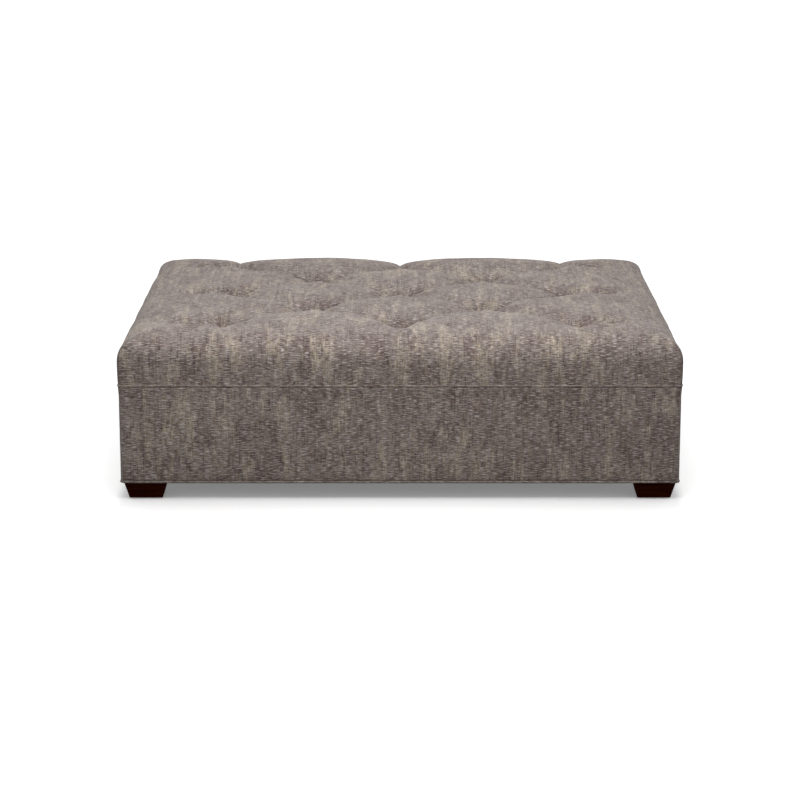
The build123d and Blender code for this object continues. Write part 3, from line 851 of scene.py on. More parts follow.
@dataclass
class TuftedTop:
    """Cover of the top with its wadding, drawn in at its tufts, with its boxed corners."""

    overall: tuple = field(default_factory=lambda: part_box("top_cover"))
    edge_height: float = 296.4 * MM
    shoulder: float = 66 * MM
    crown: float = 1040 * MM
    crown_angle: float = math.radians(9)
    crown_blend: int = 12
    side_bulge: float = 900 * MM
    corner_radius: float = 12 * MM
    least_corner: float = 0.08
    wadding: float = 9 * MM
    pitch: float = 7.6 * MM
    shoulder_turns: int = 26
    side_turns: int = 12
    # The filling's fuller back, and its waves: size, pitch and seed of each
    fullness: float = 5.5 * MM
    full_from: Pair = (260 * MM, 430 * MM)
    full_losses: tuple = ((0.6, 450 * MM, 560 * MM), (0.8, 590 * MM, 660 * MM))
    waves: tuple = ((1.0 * MM, 95 * MM, 4), (0.35 * MM, 33 * MM, 9))
    calm_depth: float = 10 * MM
    side_wave: tuple = (0.5 * MM, 60 * MM, 21)
    side_wave_end: Pair = (90 * MM, 150 * MM)
    # Tufts
    grid_reach: int = 2
    column_pitch: float = 224 * MM
    row_pitch: float = 190.5 * MM
    tuft_depth: float = 37 * MM
    seat_radius: float = 12 * MM
    funnel: float = 54 * MM
    funnel_power: float = 2.3
    cloth_reach: float = 120 * MM
    cloth_samples: int = 200
    taken_share: float = 0.9
    depth_blend: int = 4
    # Creases between neighbours, which vary by a share and by a turn from one to the next, and
    # those that fade towards the border
    crease_depth: float = 11 * MM
    crease_variety: Pair = (0.14, 2.7)
    crease_end_depth: float = 31 * MM
    crease_width: float = 108 * MM
    crease_rounding: float = 3 * MM
    end_reach: float = 95 * MM
    end_power: float = 1.2
    end_narrowing: float = 0.4
    border_share: float = 0.8
    border_width: float = 66 * MM
    side_fading: Fading = Fading(21 * MM, 0.35, 1.22, 0.3)
    front_fading: Fading = Fading(21 * MM)
    middle_fading: Fading = Fading(31 * MM)
    rim_fade: float = 60 * MM
    # Narrow folds along the creases, whose reach varies by a length and by two turns
    fold_depth: float = 6 * MM
    fold_width: float = 4 * MM
    fold_start: Pair = (12 * MM, 22 * MM)
    fold_reach: float = 70 * MM
    fold_variety: Triple = (16 * MM, 1.9, 2.3)
    fold_end: Pair = (0.8, 1.5)
    side_fold_end: Pair = (70 * MM, 150 * MM)
    side_fold_share: float = 0.6
    fold_shade: float = 0.4
    # Valleys over the back shoulder
    valleys: tuple = (
        Valley(-1, 6 * MM, 10 * MM),
        Valley(0, 8 * MM, 12.5 * MM),
        Valley(1, 6 * MM, 10 * MM),
    )
    valley_outset: float = 7 * MM
    valley_start: Pair = (-5 * MM, 25 * MM)
    valley_end: Pair = (12 * MM, 70 * MM)
    valley_sharpness: float = 15 * MM
    valley_reach: float = 205 * MM
    valley_outer_reach: float = 120 * MM
    valley_power: float = 1.6
    tail_depth: float = 10 * MM
    tail_run: float = 30 * MM
    tail_width: float = 27 * MM
    valley_blend: int = 3
    # Boxed corners
    seam_depth: float = 1.4 * MM
    seam_width: float = 3 * MM
    seam_start: Pair = (20 * MM, 45 * MM)
    seam_shade: float = 0.4
    ear: float = 2.5 * MM
    ear_width: float = 24 * MM
    ear_end: Pair = (55 * MM, 95 * MM)
    map_shift: float = 70 * MM

    def __post_init__(self) -> None:
        """Works out the places that follow from the sizes."""
        high = self.overall[1]
        turn = (self.crown - self.shoulder) * math.sin(self.crown_angle)
        reach = self.shoulder * math.sin(self.crown_angle)
        self.crown_x, self.crown_y = (half - self.shoulder - turn for half in high[:2])
        self.grid_x, self.grid_y = (half - self.shoulder + reach for half in high[:2])
        self.crest = high.z
        drop = (self.crown - self.shoulder) * math.cos(self.crown_angle)
        self.side_top = self.crest - self.crown + drop
        self.outer_column = self.grid_reach * self.column_pitch
        self.back_row = self.grid_reach * self.row_pitch

    def tufts(self) -> list[Pair]:
        """Places of the thirteen tufts in plan.

        Returns:
            X and Y of each tuft, row by row from the front.
        """
        steps = range(-self.grid_reach, self.grid_reach + 1)
        spots = [(c, r) for r in steps for c in steps if (r + c) % 2 == 0]
        return [(c * self.column_pitch, r * self.row_pitch) for c, r in spots]

    def base_height(self, x: Array, y: Array) -> Array:
        """Height of the untufted top.

        Args:
            x: X of the points.
            y: Y of the points.

        Returns:
            The height.
        """
        drops = []
        for value, start in ((x, self.crown_x), (y, self.crown_y)):
            past = np.maximum(np.abs(value) - start, 0)
            drops.append(self.crown - np.sqrt(self.crown**2 - past**2))
        largest = np.maximum(np.maximum(*drops), TINY)
        ratio = sum((drop / largest) ** self.crown_blend for drop in drops)
        return self.crest - largest * ratio ** (1 / self.crown_blend)

    def lift(self, x: Array, y: Array) -> Array:
        """How much fuller the filling stands along the back than the plain form.

        Args:
            x: X of the points.
            y: Y of the points.

        Returns:
            The lift.
        """
        along = 1 - sum(loss * step(np.abs(x), *ends) for loss, *ends in self.full_losses)
        return self.fullness * along * step(y, *self.full_from)

    def creases(self) -> list[Crease]:
        """Creases between diagonal neighbours.

        Returns:
            The creases, from left to right.
        """
        places = sorted(self.tufts())
        found = []
        for a in places:
            for side in (-1, 1):
                b = (a[0] + self.column_pitch, a[1] + side * self.row_pitch)
                found += [Crease(a, q) for q in places if math.dist(q, b) < self.seat_radius]
        return found

    def border_creases(self) -> list[tuple[Crease, Fading]]:
        """Creases that fade from the outer tufts towards the sides and the front.

        Returns:
            Each crease with its fading.
        """
        found = []
        for tx, ty in self.tufts():
            if abs(tx) > self.outer_column - self.seat_radius:
                length = self.border_share * (self.grid_x - abs(tx))
                end = (tx + math.copysign(length, tx), ty)
                found.append((Crease((tx, ty), end), self.side_fading))
            if ty < self.seat_radius - self.back_row:
                end = (tx, ty - self.border_share * (self.grid_y - abs(ty)))
                is_middle = abs(tx) < self.seat_radius
                fading = self.middle_fading if is_middle else self.front_fading
                found.append((Crease((tx, ty), end), fading))
        return found

    def hollow(self, away: Array, depth: Array, width: Array) -> Array:
        """Depth of a crease at a distance from its line."""
        soft = np.sqrt(away**2 + self.crease_rounding**2)
        return depth * np.clip(1 - soft / width, 0, 1) ** 2

    def funnel_depth(self, away: Array) -> Array:
        """Depth of a tuft at a distance from its middle."""
        inside = 1 - np.clip((away - self.seat_radius) / self.funnel, 0, 1)
        return self.tuft_depth * inside**self.funnel_power

    def tuft_field(self, x: Array, y: Array) -> Array:
        """How far the top is drawn down by its tufts and creases.

        Args:
            x: X of the points.
            y: Y of the points.

        Returns:
            The depth.
        """
        depths = [self.funnel_depth(np.hypot(x - tx, y - ty)) for tx, ty in self.tufts()]
        share, turn = self.crease_variety
        for number, crease in enumerate(self.creases()):
            away, *ends = crease.against(x, y)
            extra = 1 - (np.minimum(*ends) - self.seat_radius) / self.end_reach
            extra = np.clip(extra, 0, 1) ** self.end_power
            middle = self.crease_depth * (1 + share * math.sin(turn * number))
            depth = middle + (self.crease_end_depth - middle) * extra
            width = self.crease_width * (1 - self.end_narrowing * extra)
            depths.append(self.hollow(away, depth, width))
        for crease, fading in self.border_creases():
            away, along, _ = crease.against(x, y)
            length = math.dist(crease.start, crease.end)
            fade = 1 - step(along, fading.start * length, fading.stop * length)
            width = self.border_width * (1 + fading.widening * (1 - fade))
            depths.append(self.hollow(away, fading.depth * fade, width))
        total = sum(depth**self.depth_blend for depth in depths)
        return np.minimum(total ** (1 / self.depth_blend), self.tuft_depth)

    def valley_field(self, x: Array, travel: Array) -> Array:
        """Depth of the valleys over the back shoulder.

        Args:
            x: X of the points.
            travel: distance over the surface behind the back row of tufts.

        Returns:
            The depth.
        """
        total = np.zeros_like(x)
        flat = self.grid_y - self.back_row
        fade = 1 - step(travel, *(flat + end for end in self.valley_end))
        tail = self.tail_depth * np.exp(-np.maximum(travel, 0) / self.tail_run)
        outer = self.outer_column + self.valley_outset
        for valley in self.valleys:
            away = np.abs(x - valley.side * outer)
            outside = (np.abs(x) > outer) & (valley.side != 0)
            reach = np.where(outside, self.valley_outer_reach, self.valley_reach)
            shape = valley.sharp * np.exp(-away / self.valley_sharpness)
            shape += tail * np.exp(-away / self.tail_width)
            shape += valley.broad * np.clip(1 - away / reach, 0, 1) ** self.valley_power
            total += shape * fade * step(travel, *self.valley_start)
        return total

    def fold_field(self, x: Array, y: Array) -> Array:
        """Share of the narrow folds that run from the tufts along the creases.

        Args:
            x: X of the points.
            y: Y of the points.

        Returns:
            The share.
        """
        total = np.zeros_like(x)
        spread, turn, end_turn = self.fold_variety
        for number, crease in enumerate(self.creases()):
            away, *ends = crease.against(x, y)
            for which, end in enumerate(ends):
                reach = self.fold_reach + spread * math.sin(turn * number + end_turn * which)
                stop = 1 - step(end, *(share * reach for share in self.fold_end))
                total = np.maximum(total, stop * self.fold_shape(away, end))
        for crease, fading in self.border_creases():
            if fading is self.side_fading:
                away, along, _ = crease.against(x, y)
                stop = self.side_fold_share * (1 - step(along, *self.side_fold_end))
                total = np.maximum(total, stop * self.fold_shape(away, along))
        return total

    def fold_shape(self, away: Array, along: Array) -> Array:
        """Share of a fold beside its line, at a distance along it from the tuft."""
        return step(along, *self.fold_start) * np.exp(-((away / self.fold_width) ** 2))

    def drawn_in(self, plan: Array) -> Array:
        """Shift of the cloth's coordinates, for the cloth that the tufts take up.

        Args:
            plan: X and Y of the points.

        Returns:
            The shift along each of them.
        """
        radii = np.linspace(0, self.cloth_reach, self.cloth_samples)
        slope = np.gradient(self.funnel_depth(radii), radii)
        taken = self.taken_share * np.cumsum(np.hypot(1, slope) - 1) * radii[1]
        taken *= 1 - step(radii, self.funnel, self.cloth_reach)
        shift = np.zeros_like(plan)
        for tuft in self.tufts():
            away = plan - tuft
            r = np.linalg.norm(away, axis=1)
            share = np.interp(r, radii, taken, right=0.0) / np.maximum(r, MM)
            shift += away * share[:, None]
        return shift

    def levels(self) -> list[Level]:
        """Loops over the shoulder and down the sides.

        Returns:
            The loops, from the grid down to the edge.
        """
        found = []
        top = math.pi / 2 - self.crown_angle
        for k in range(1, self.shoulder_turns + 1):
            angle = top * (1 - k / self.shoulder_turns)
            out = self.shoulder * (math.cos(angle) - math.cos(top))
            height = self.side_top + self.shoulder * math.sin(angle)
            travel = self.shoulder * (top - angle)
            found.append(Level(out, height, math.cos(angle), math.sin(angle), travel))
        last = found[-1]
        rise = self.side_top - self.edge_height
        for k in range(1, self.side_turns + 1):
            down = rise * k / self.side_turns
            pull = self.side_bulge - math.sqrt(self.side_bulge**2 - down**2)
            found.append(Level(last.out - pull, self.side_top - down, 1.0, 0.0, last.travel + down))
        return found

    def ring(self, edge: Array, out: float, inset: float) -> tuple[Array, Array]:
        """Loop of the sides, its corners rounded.

        Args:
            edge: plan points of the grid's rim.
            out: how far the loop lies outside the grid.
            inset: how far it lies inside the cloth.

        Returns:
            Its plan points and their outward directions.
        """
        half = np.array([self.grid_x + out, self.grid_y + out])
        sharp = edge * half / np.array([self.grid_x, self.grid_y])
        outset = out / (self.shoulder * (1 - math.sin(self.crown_angle)))
        radius = self.corner_radius * max(self.least_corner, min(1.0, outset))
        inner = np.clip(sharp, -(half - radius), half - radius)
        away = sharp - inner
        normal = away / np.linalg.norm(away, axis=1)[:, None]
        return inner + normal * (radius - inset), normal

    def side_cloth(self, plan: Array, travel: float, side: Array) -> Array:
        """Cloth coordinates on the sides, which run on from the top's.

        Args:
            plan: plan points of a loop.
            travel: distance over the surface at the loop.
            side: the side that each point is taken for.

        Returns:
            The coordinates.
        """
        u, v = plan.T
        x, y = self.grid_x + travel, self.grid_y + travel
        u = np.where(side == 1, x, np.where(side == 3, -x, u))
        v = np.where(side == 0, -y, np.where(side == 2, y, v))
        return np.stack([u, v], -1)

    def sides(self, made: Skin, rim: Rim, level_step: int, inset: float) -> None:
        """Adds the shoulder and the sides to a skin.

        Args:
            made: the skin, which has its top.
            rim: the border of its grid.
            level_step: takes every level, or every second one.
            inset: how far it lies inside the cloth.
        """
        edge, side = rim.plan, rim.side
        count, total = len(edge), len(made.points[0])
        corner = self.grid_x - np.abs(edge[:, 0]) + self.grid_y - np.abs(edge[:, 1])
        is_back = edge[:, 1] > self.grid_y - TOUCHING
        lift = self.lift(*edge.T)
        wave_depth, wave_pitch, wave_seed = self.side_wave
        before, above, plan_above = rim.numbers, 0.0, edge
        after = np.roll(np.arange(count), -1)
        for level in self.levels()[::level_step]:
            travel = level.travel
            plan, normal = self.ring(edge, level.out, inset * level.outward)
            fade = 1 - step(travel, 0, self.rim_fade)
            behind = np.full(count, self.grid_y - self.back_row + travel)
            cave = self.valley_field(edge[:, 0], behind)
            inward = np.maximum(rim.depth * fade * ~is_back, cave * is_back)
            ripple = smooth_noise(edge.sum(1), np.full(count, travel), wave_pitch, wave_seed)
            wave = (rim.wave + wave_depth * ripple) * (1 - step(travel, *self.side_wave_end))
            inward = inward - wave - lift * fade * (1 - inward / self.tuft_depth)
            low = step(travel, *self.seam_start)
            seam = low * np.exp(-((corner / self.seam_width) ** 2))
            ear = low * (1 - step(travel, *self.ear_end)) * np.exp(-((corner / self.ear_width) ** 2))
            inward = inward + self.seam_depth * seam - self.ear * ear
            flat = plan - normal * (inward * level.outward)[:, None]
            made.points.append(np.column_stack([flat, level.height - (inward + inset) * level.upward]))
            now = total + np.arange(count)
            made.faces.append(np.stack([before, now, now[after], before[after]], -1))
            upper, lower = (plan_above, above), (plan, travel)
            corners = upper, lower, (plan[after], travel), (plan_above[after], above)
            made.cloth.append(np.stack([self.side_cloth(*place, side) for place in corners], 1))
            made.shade.append(1 - self.seam_shade * seam)
            before, above, plan_above, total = now, travel, plan, total + count
        made.ring = before

    def skin(self, divide: int, inset: float) -> Skin:
        """One side of the cover.

        Args:
            divide: how many times finer than the pitch it is.
            inset: how far it lies inside the cloth.

        Returns:
            Its points and faces.
        """
        nx, ny = (divide * round(2 * half / self.pitch) for half in (self.grid_x, self.grid_y))
        xs = np.linspace(-self.grid_x, self.grid_x, nx + 1)
        ys = np.linspace(-self.grid_y, self.grid_y, ny + 1)
        gy, gx = np.meshgrid(ys, xs, indexing="ij")
        cave = self.valley_field(gx, gy - self.back_row)
        depth = self.tuft_field(gx, gy) ** self.valley_blend + cave**self.valley_blend
        depth = depth ** (1 / self.valley_blend)
        fold = self.fold_field(gx, gy) * (inset == 0)
        wave = sum(size * smooth_noise(gx, gy, pitch, seed) for size, pitch, seed in self.waves)
        wave = wave * step(self.tuft_depth - depth, 0, self.calm_depth)
        fuller = self.lift(gx, gy) * (1 - depth / self.tuft_depth)
        height = self.base_height(gx, gy) + fuller - depth + wave - self.fold_depth * fold - inset
        plan = np.stack([gx, gy], -1).reshape(-1, 2)
        quads = grid_quads(ny + 1, nx + 1)[0]
        number = np.arange(gx.size).reshape(gx.shape)
        rim = np.concatenate([number[0, :-1], number[:-1, -1], number[-1, :0:-1], number[:0:-1, 0]])
        made = Skin(
            [np.column_stack([plan, height.ravel()])],
            [quads],
            [(plan + self.drawn_in(plan))[quads]],
            [1 - self.fold_shade * fold.ravel()],
            rim,
        )
        side = np.repeat([0, 1, 2, 3], [nx, ny, nx, ny])
        border = Rim(rim, plan[rim], depth.ravel()[rim], wave.ravel()[rim], side)
        self.sides(made, border, 3 - divide, inset)
        return made

    def build(self) -> Piece:
        """Cover with its wadding, ready in the scene.

        Returns:
            The cover.
        """
        outer, inner = self.skin(2, 0.0), self.skin(1, self.wadding)
        points, faces, cloth, shade = outer.joined()
        back_points, back_faces, back_cloth, back_shade = inner.joined()
        every = np.concatenate([points, back_points])
        a, c, d = inner.ring + len(points), outer.ring[::2], outer.ring[1::2]
        hem = np.stack([a, np.roll(a, -1), np.roll(c, -1), d, c], -1)
        quads = np.concatenate([faces, back_faces[:, ::-1] + len(points)])
        quad_cloth = np.concatenate([cloth, back_cloth[:, ::-1]])
        all_faces = np.concatenate([np.pad(quads, ((0, 0), (0, 1)), constant_values=-1), hem])
        all_cloth = np.concatenate([np.pad(quad_cloth, ((0, 0), (0, 1), (0, 0))), every[hem][..., :2]])
        cover = mesh_piece(
            "tufted_top_cover",
            every,
            all_faces,
            all_cloth + (self.map_shift, 0.0),
            np.concatenate([shade, back_shade]),
        )
        dress(cover, Slot.CHENILLE, "top_cover", "fibre_wrap")
        return cover


# The base


@dataclass
class Base:
    """Cloth of the base between its two piped seams, one panel for each side."""

    half_x: float = 695.5 * MM
    half_y: float = 556 * MM
    corner_radius: float = 11 * MM
    least_radius: float = 0.5 * MM
    top: float = 291.6 * MM
    bottom: float = 51.8 * MM
    thickness: float = 1.5 * MM
    cloth_share: float = 0.8
    turned_in: float = 30 * MM
    top_turn: float = 6 * MM
    hem_inset: float = 3 * MM
    hem_middle_share: float = 0.4
    step_size: float = 8 * MM
    # Folds at both ends: inset and distance from the end, in thicknesses of the cloth
    top_fold_shares: tuple = ((1.0, 0.6), (0.3, 1.0), (0.0, 2.0))
    bottom_fold_shares: tuple = ((0.0, 1.6), (0.3, 0.5), (1.2, 0.0))
    straight_start_share: float = 4.0
    # Grooves of the corner seams
    groove_depth: float = 1.6 * MM
    groove_width: float = 2.2 * MM
    groove_power: float = 1.5
    # Slight waves of the cloth, each with size, pitch and seed, and its swell at the waist
    waves: tuple = ((0.75 * MM, 120 * MM, 31), (0.25 * MM, 42 * MM, 37))
    fullness: float = 0.3 * MM
    low_fade: float = 40 * MM
    high_fade: float = 30 * MM
    edge_fade: float = 30 * MM
    swell: float = 1.7 * MM
    swell_start: float = 25 * MM
    swell_end: float = 3 * MM
    side_shift: float = 3.0
    # Shade, and place on the bolt of cloth
    low_shade: float = 0.14
    low_shade_height: float = 18 * MM
    seam_shade: float = 0.3
    seam_shade_width: float = 1.6 * MM
    map_pitch: float = 2.3
    map_shift: float = 5.0

    def profile(self) -> list[Pair]:
        """Rows of the cloth, from its top hem to its bottom one.

        Returns:
            The inset and the height of each row.
        """
        t = self.thickness
        count = round((self.top - self.bottom) / self.step_size)
        start = self.straight_start_share * t
        return [
            (self.top_turn, self.top - t),
            *((inset * t, self.top - drop * t) for inset, drop in self.top_fold_shares),
            *((0.0, float(z)) for z in np.linspace(self.top - start, self.bottom + start, count)),
            *((inset * t, self.bottom + rise * t) for inset, rise in self.bottom_fold_shares),
            (self.hem_middle_share * self.turned_in, self.bottom),
            (self.turned_in, self.bottom),
        ]

    def to_seam(self, middle: Array) -> Array:
        """Distance to the nearer corner seam, from the distance to the panel's middle."""
        return np.maximum(middle[-1] - np.abs(middle), 0)

    def away(self, middle: Array, inset: float, z: float, side: int) -> Array:
        """How far the cloth stands out of its plain form along a row.

        Args:
            middle: distance from the panel's middle at each place.
            inset: the row's inset.
            z: the row's height.
            side: number of the side.

        Returns:
            The distance at each place.
        """
        edge = self.to_seam(middle)
        fade = step(z, self.bottom, self.bottom + self.low_fade)
        fade = fade * (1 - step(z, self.top - self.high_fade, self.top))
        place = middle + side * self.side_shift, np.full(len(middle), z)
        wave = sum(size * smooth_noise(*place, pitch, seed) for size, pitch, seed in self.waves)
        wave = (wave + self.fullness) * fade * step(edge, 0, self.edge_fade)
        swell = self.swell * step(z, self.top - self.swell_start, self.top - self.swell_end)
        groove = self.groove_depth * np.exp(-((edge / self.groove_width) ** self.groove_power))
        return wave + swell - groove * step(inset, self.hem_inset, 0)

    def build(self) -> list[Piece]:
        """The four panels.

        Returns:
            The panels.
        """
        size = np.array([self.half_x, self.half_y, self.corner_radius])
        loop = RoundedLoop(*(round(2 * half / self.step_size) for half in size[:2]))
        outer = loop.points(*size)
        out = (outer - loop.points(*(size - MM))) / MM
        distance = loop.distances(outer)
        pieces = []
        for side, name in enumerate(("front", "right", "back", "left")):
            numbers = np.array(loop.side(side))
            around = numbers % len(outer)
            middle = distance[numbers] - distance[numbers[[0, -1]]].mean()
            rows = []
            for inset, z in self.profile():
                if inset > self.hem_inset:
                    radius = max(self.corner_radius - inset, self.least_radius)
                    plan = loop.points(self.half_x - inset, self.half_y - inset, radius)[around]
                else:
                    shift = self.away(middle, inset, z, side) - inset
                    plan = outer[around] + out[around] * shift[:, None]
                rows.append(np.column_stack([plan, np.full(len(plan), z)]))
            pieces.append(self.panel(name, np.array(rows), middle, side))
        return pieces

    def panel(self, name: str, grid: Array, middle: Array, side: int) -> Piece:
        """One panel of cloth with its thickness.

        Args:
            name: the side's name.
            grid: points by row and place.
            middle: distance from the panel's middle at each place.
            side: number of the side.

        Returns:
            The panel.
        """
        runs = np.linalg.norm(np.diff(self.profile(), axis=0), axis=1)
        travel = np.append(0.0, np.cumsum(runs))
        faces, row, place = (part[:, [0, 3, 2, 1]] for part in grid_quads(*grid.shape[:2]))
        shift = self.map_pitch * side + self.map_shift
        cloth = np.stack([middle[place] + shift, -travel[row]], -1)
        low_end = self.bottom + self.low_shade_height
        low = self.low_shade * (1 - step(grid[..., 2], self.bottom, low_end))
        seam = np.exp(-((self.to_seam(middle) / self.seam_shade_width) ** 2))
        shade = (1 - low) * (1 - self.seam_shade * seam)
        piece = mesh_piece("base_cloth_" + name, grid.reshape(-1, 3), faces, cloth, shade.ravel())
        apply_modifier(piece, "SOLIDIFY", thickness=self.thickness * self.cloth_share, offset=-1)
        dress(piece, Slot.CHENILLE, "base_panel_" + name)
        return piece


@dataclass
class Piping:
    """Cloth-covered cord with its sewn-in flange, round a rounded rectangle."""

    name: str
    node: str
    half_x: float
    half_y: float
    corner_radius: float
    height: float
    flange: float
    flange_rise: float = 0.0
    map_shift: float = 0.0
    radius: float = 3 * MM
    flange_thickness: float = 1 * MM
    least_radius: float = 0.4 * MM
    step_size: float = 5 * MM
    sides: int = 14
    ripple: float = 0.07 * MM
    ripples: tuple = ((1.0, 0, 11 * MM, 51), (0.6, 1, 29 * MM, 53))
    shade: float = 0.95
    weld: float = 0.01 * MM

    def profile(self) -> list[Pair]:
        """Section of the cord and its flange.

        Returns:
            The inset and the rise of each point, the first one again at the end.
        """
        half = self.flange_thickness / 2
        gap = math.asin(half / self.radius)
        inward = math.pi - math.asin(self.flange_rise / self.radius)
        angles = np.linspace(inward + gap, inward - gap + 2 * math.pi, self.sides)
        found = [(self.radius * (1 - math.cos(a)), self.radius * math.sin(a)) for a in angles]
        reach = 2 * self.radius + self.flange
        found += [(reach, self.flange_rise + half), (reach, self.flange_rise - half)]
        return [*found, found[0]]

    def build(self) -> Piece:
        """The piping.

        Returns:
            The piece.
        """
        loop = RoundedLoop(*(round(2 * half / self.step_size) for half in (self.half_x, self.half_y)))
        outer = loop.points(self.half_x, self.half_y, self.corner_radius)
        distance = loop.distances(outer)
        ripple = sum(
            share * smooth_noise(distance[:-1], np.full(len(outer), row), pitch, seed)
            for share, row, pitch, seed in self.ripples
        )
        profile = np.array(self.profile())
        loops = []
        for inset, rise in profile:
            radius = max(self.corner_radius - inset, self.least_radius)
            ring = loop.points(self.half_x - inset, self.half_y - inset, radius)
            swell = self.ripple * ripple * (inset < 2 * self.radius)
            out = ring / np.linalg.norm(ring, axis=1)[:, None]
            ring = ring + out * (swell * (1 - inset / self.radius))[:, None]
            loops.append(np.column_stack([ring, self.height + rise + swell * rise / self.radius]))
        across = np.append(0.0, np.cumsum(np.linalg.norm(np.diff(profile, axis=0), axis=1)))
        faces, row, place = grid_quads(len(loops), len(outer), closed=True)
        cloth = np.stack([distance[place] + self.map_shift, across[row]], -1)
        points = np.concatenate(loops)
        piece = mesh_piece(self.name, points, faces, cloth, np.full(len(points), self.shade))
        apply_modifier(piece, "WELD", merge_threshold=self.weld)
        bpy.ops.object.mode_set(mode="EDIT")
        bpy.ops.mesh.select_all(action="SELECT")
        bpy.ops.mesh.normals_make_consistent(inside=False)
        bpy.ops.object.mode_set(mode="OBJECT")
        return dress(piece, Slot.CHENILLE, self.node)


@dataclass
class Buttons:
    """Cloth-covered buttons at the bottom of the tufts."""

    places: list[Pair]
    seat: float = 391.1 * MM
    radius: float = 12 * MM
    edge: float = 2 * MM
    rise: float = 6.6 * MM
    corners: int = 32
    upward: float = 0.9
    dome_shares: tuple = ((0.16, 0.42), (0.28, 0.36), (0.28, 0.17), (0.16, 0.05))
    bevel: float = 0.5 * MM
    map_shift: float = 9.0
    shade: float = 0.8

    def shape(self) -> Piece:
        """Models one button at the origin.

        Returns:
            The button.
        """
        bpy.ops.object.select_all(action="DESELECT")
        bpy.ops.mesh.primitive_cylinder_add(
            vertices=self.corners, radius=self.radius, depth=self.edge, location=(0, 0, self.edge / 2)
        )
        piece = bpy.context.object
        bpy.ops.object.mode_set(mode="EDIT")
        for inset, lift in self.dome_shares:
            bpy.ops.mesh.select_all(action="DESELECT")
            bpy.ops.object.mode_set(mode="OBJECT")
            for face in piece.data.polygons:
                face.select = face.normal.z > self.upward and len(face.vertices) > 4
            bpy.ops.object.mode_set(mode="EDIT")
            bpy.ops.mesh.inset(thickness=inset * self.radius)
            bpy.ops.transform.translate(value=(0, 0, lift * (self.rise - self.edge)))
        bpy.ops.object.mode_set(mode="OBJECT")
        apply_modifier(piece, "BEVEL", width=self.bevel, segments=2, limit_method="ANGLE")
        return piece

    def build(self) -> Piece:
        """All the buttons as one piece.

        Returns:
            The piece.
        """
        one = self.shape()
        local = np.array([point.co for point in one.data.vertices], dtype=float)
        faces = [list(face.vertices) for face in one.data.polygons]
        bpy.data.objects.remove(one)
        widest = max(map(len, faces))
        table = np.array([face + [-1] * (widest - len(face)) for face in faces])
        points = np.concatenate([local + (x, y, self.seat) for x, y in self.places])
        shifts = len(local) * np.arange(len(self.places))[:, None, None]
        rows = np.where(table >= 0, table + shifts, -1).reshape(-1, widest)
        cloth = points[np.maximum(rows, 0)][..., :2] + self.map_shift
        shade = np.full(len(points), self.shade)
        piece = mesh_piece("covered_buttons", points, rows, cloth, shade)
        return dress(piece, Slot.CHENILLE, "tuft_buttons")


@dataclass
class DustCloth:
    """Thin black cloth stapled under the frame, slack between its edges."""

    half_x: float = 680 * MM
    half_y: float = 540.5 * MM
    height: float = 49.8 * MM
    thickness: float = 0.6 * MM
    sag: float = 5 * MM
    sag_start: Pair = (15 * MM, 260 * MM)
    step_size: float = 20 * MM
    foot_reach: float = 150 * MM
    foot_fade: float = 80 * MM
    ripple: tuple = (0.6 * MM, 70 * MM, 61)
    ripple_start: Pair = (10 * MM, 60 * MM)
    ripple_foot_fade: float = 60 * MM

    def build(self) -> Piece:
        """The cloth.

        Returns:
            The piece.
        """
        half = np.array([self.half_x, self.half_y])
        xs, ys = (np.linspace(-h, h, round(2 * h / self.step_size) + 1) for h in half)
        gy, gx = np.meshgrid(ys, xs, indexing="ij")
        to_side = half - np.abs(np.stack([gx, gy], -1))
        to_edge = to_side.min(-1)
        to_foot = np.linalg.norm(np.maximum(to_side - self.foot_reach, 0), axis=-1)
        slack = step(to_edge, *self.sag_start) * step(to_foot, 0, self.foot_fade)
        size, pitch, seed = self.ripple
        ripple = size * smooth_noise(gx, gy, pitch, seed) * step(to_edge, *self.ripple_start)
        ripple = ripple * step(to_foot, 0, self.ripple_foot_fade)
        gz = self.height - self.sag * slack + ripple
        points = np.stack([gx, gy, gz], -1).reshape(-1, 3)
        piece = mesh_piece("dust_cloth_sheet", points, grid_quads(*gx.shape)[0])
        apply_modifier(piece, "SOLIDIFY", thickness=self.thickness, offset=1)
        dress(piece, Slot.DUST_CLOTH, "dust_cover")
        return piece


@dataclass
class Fittings:
    """CAD nodes that keep their shape and get their own finish."""

    def build(self) -> int:
        """Dresses every node that still shows.

        Returns:
            How many there are.
        """
        slots = {row["node"]: Slot(row["material_slot"]) for row in frame["record"]["subparts"]}
        shown = [name for name, piece in frame["nodes"].items() if not piece.hide_render]
        for name in shown:
            piece = frame["nodes"][name]
            if not piece.material_slots:
                piece.data.materials.append(None)
            for place in piece.material_slots:
                place.material = material(slots[name])
        return len(shown)


# The studio


@dataclass(frozen=True)
class Lamp:
    """Soft lamp that the camera doesn't see: power in watts, place, size and aim."""

    name: str
    power: float
    place: Triple
    size: Pair
    aim: Triple

    def build(self) -> None:
        """Hangs the lamp."""
        lamp = bpy.data.lights.new(self.name, "AREA")
        lamp.shape = "RECTANGLE"
        lamp.size, lamp.size_y = self.size
        lamp.energy = self.power
        holder = bpy.data.objects.new(self.name, lamp)
        holder.location = self.place
        holder.visible_camera = False
        turn = (Vector(self.aim) - Vector(self.place)).to_track_quat("-Z", "Y")
        holder.rotation_euler = turn.to_euler()
        bpy.context.scene.collection.objects.link(holder)


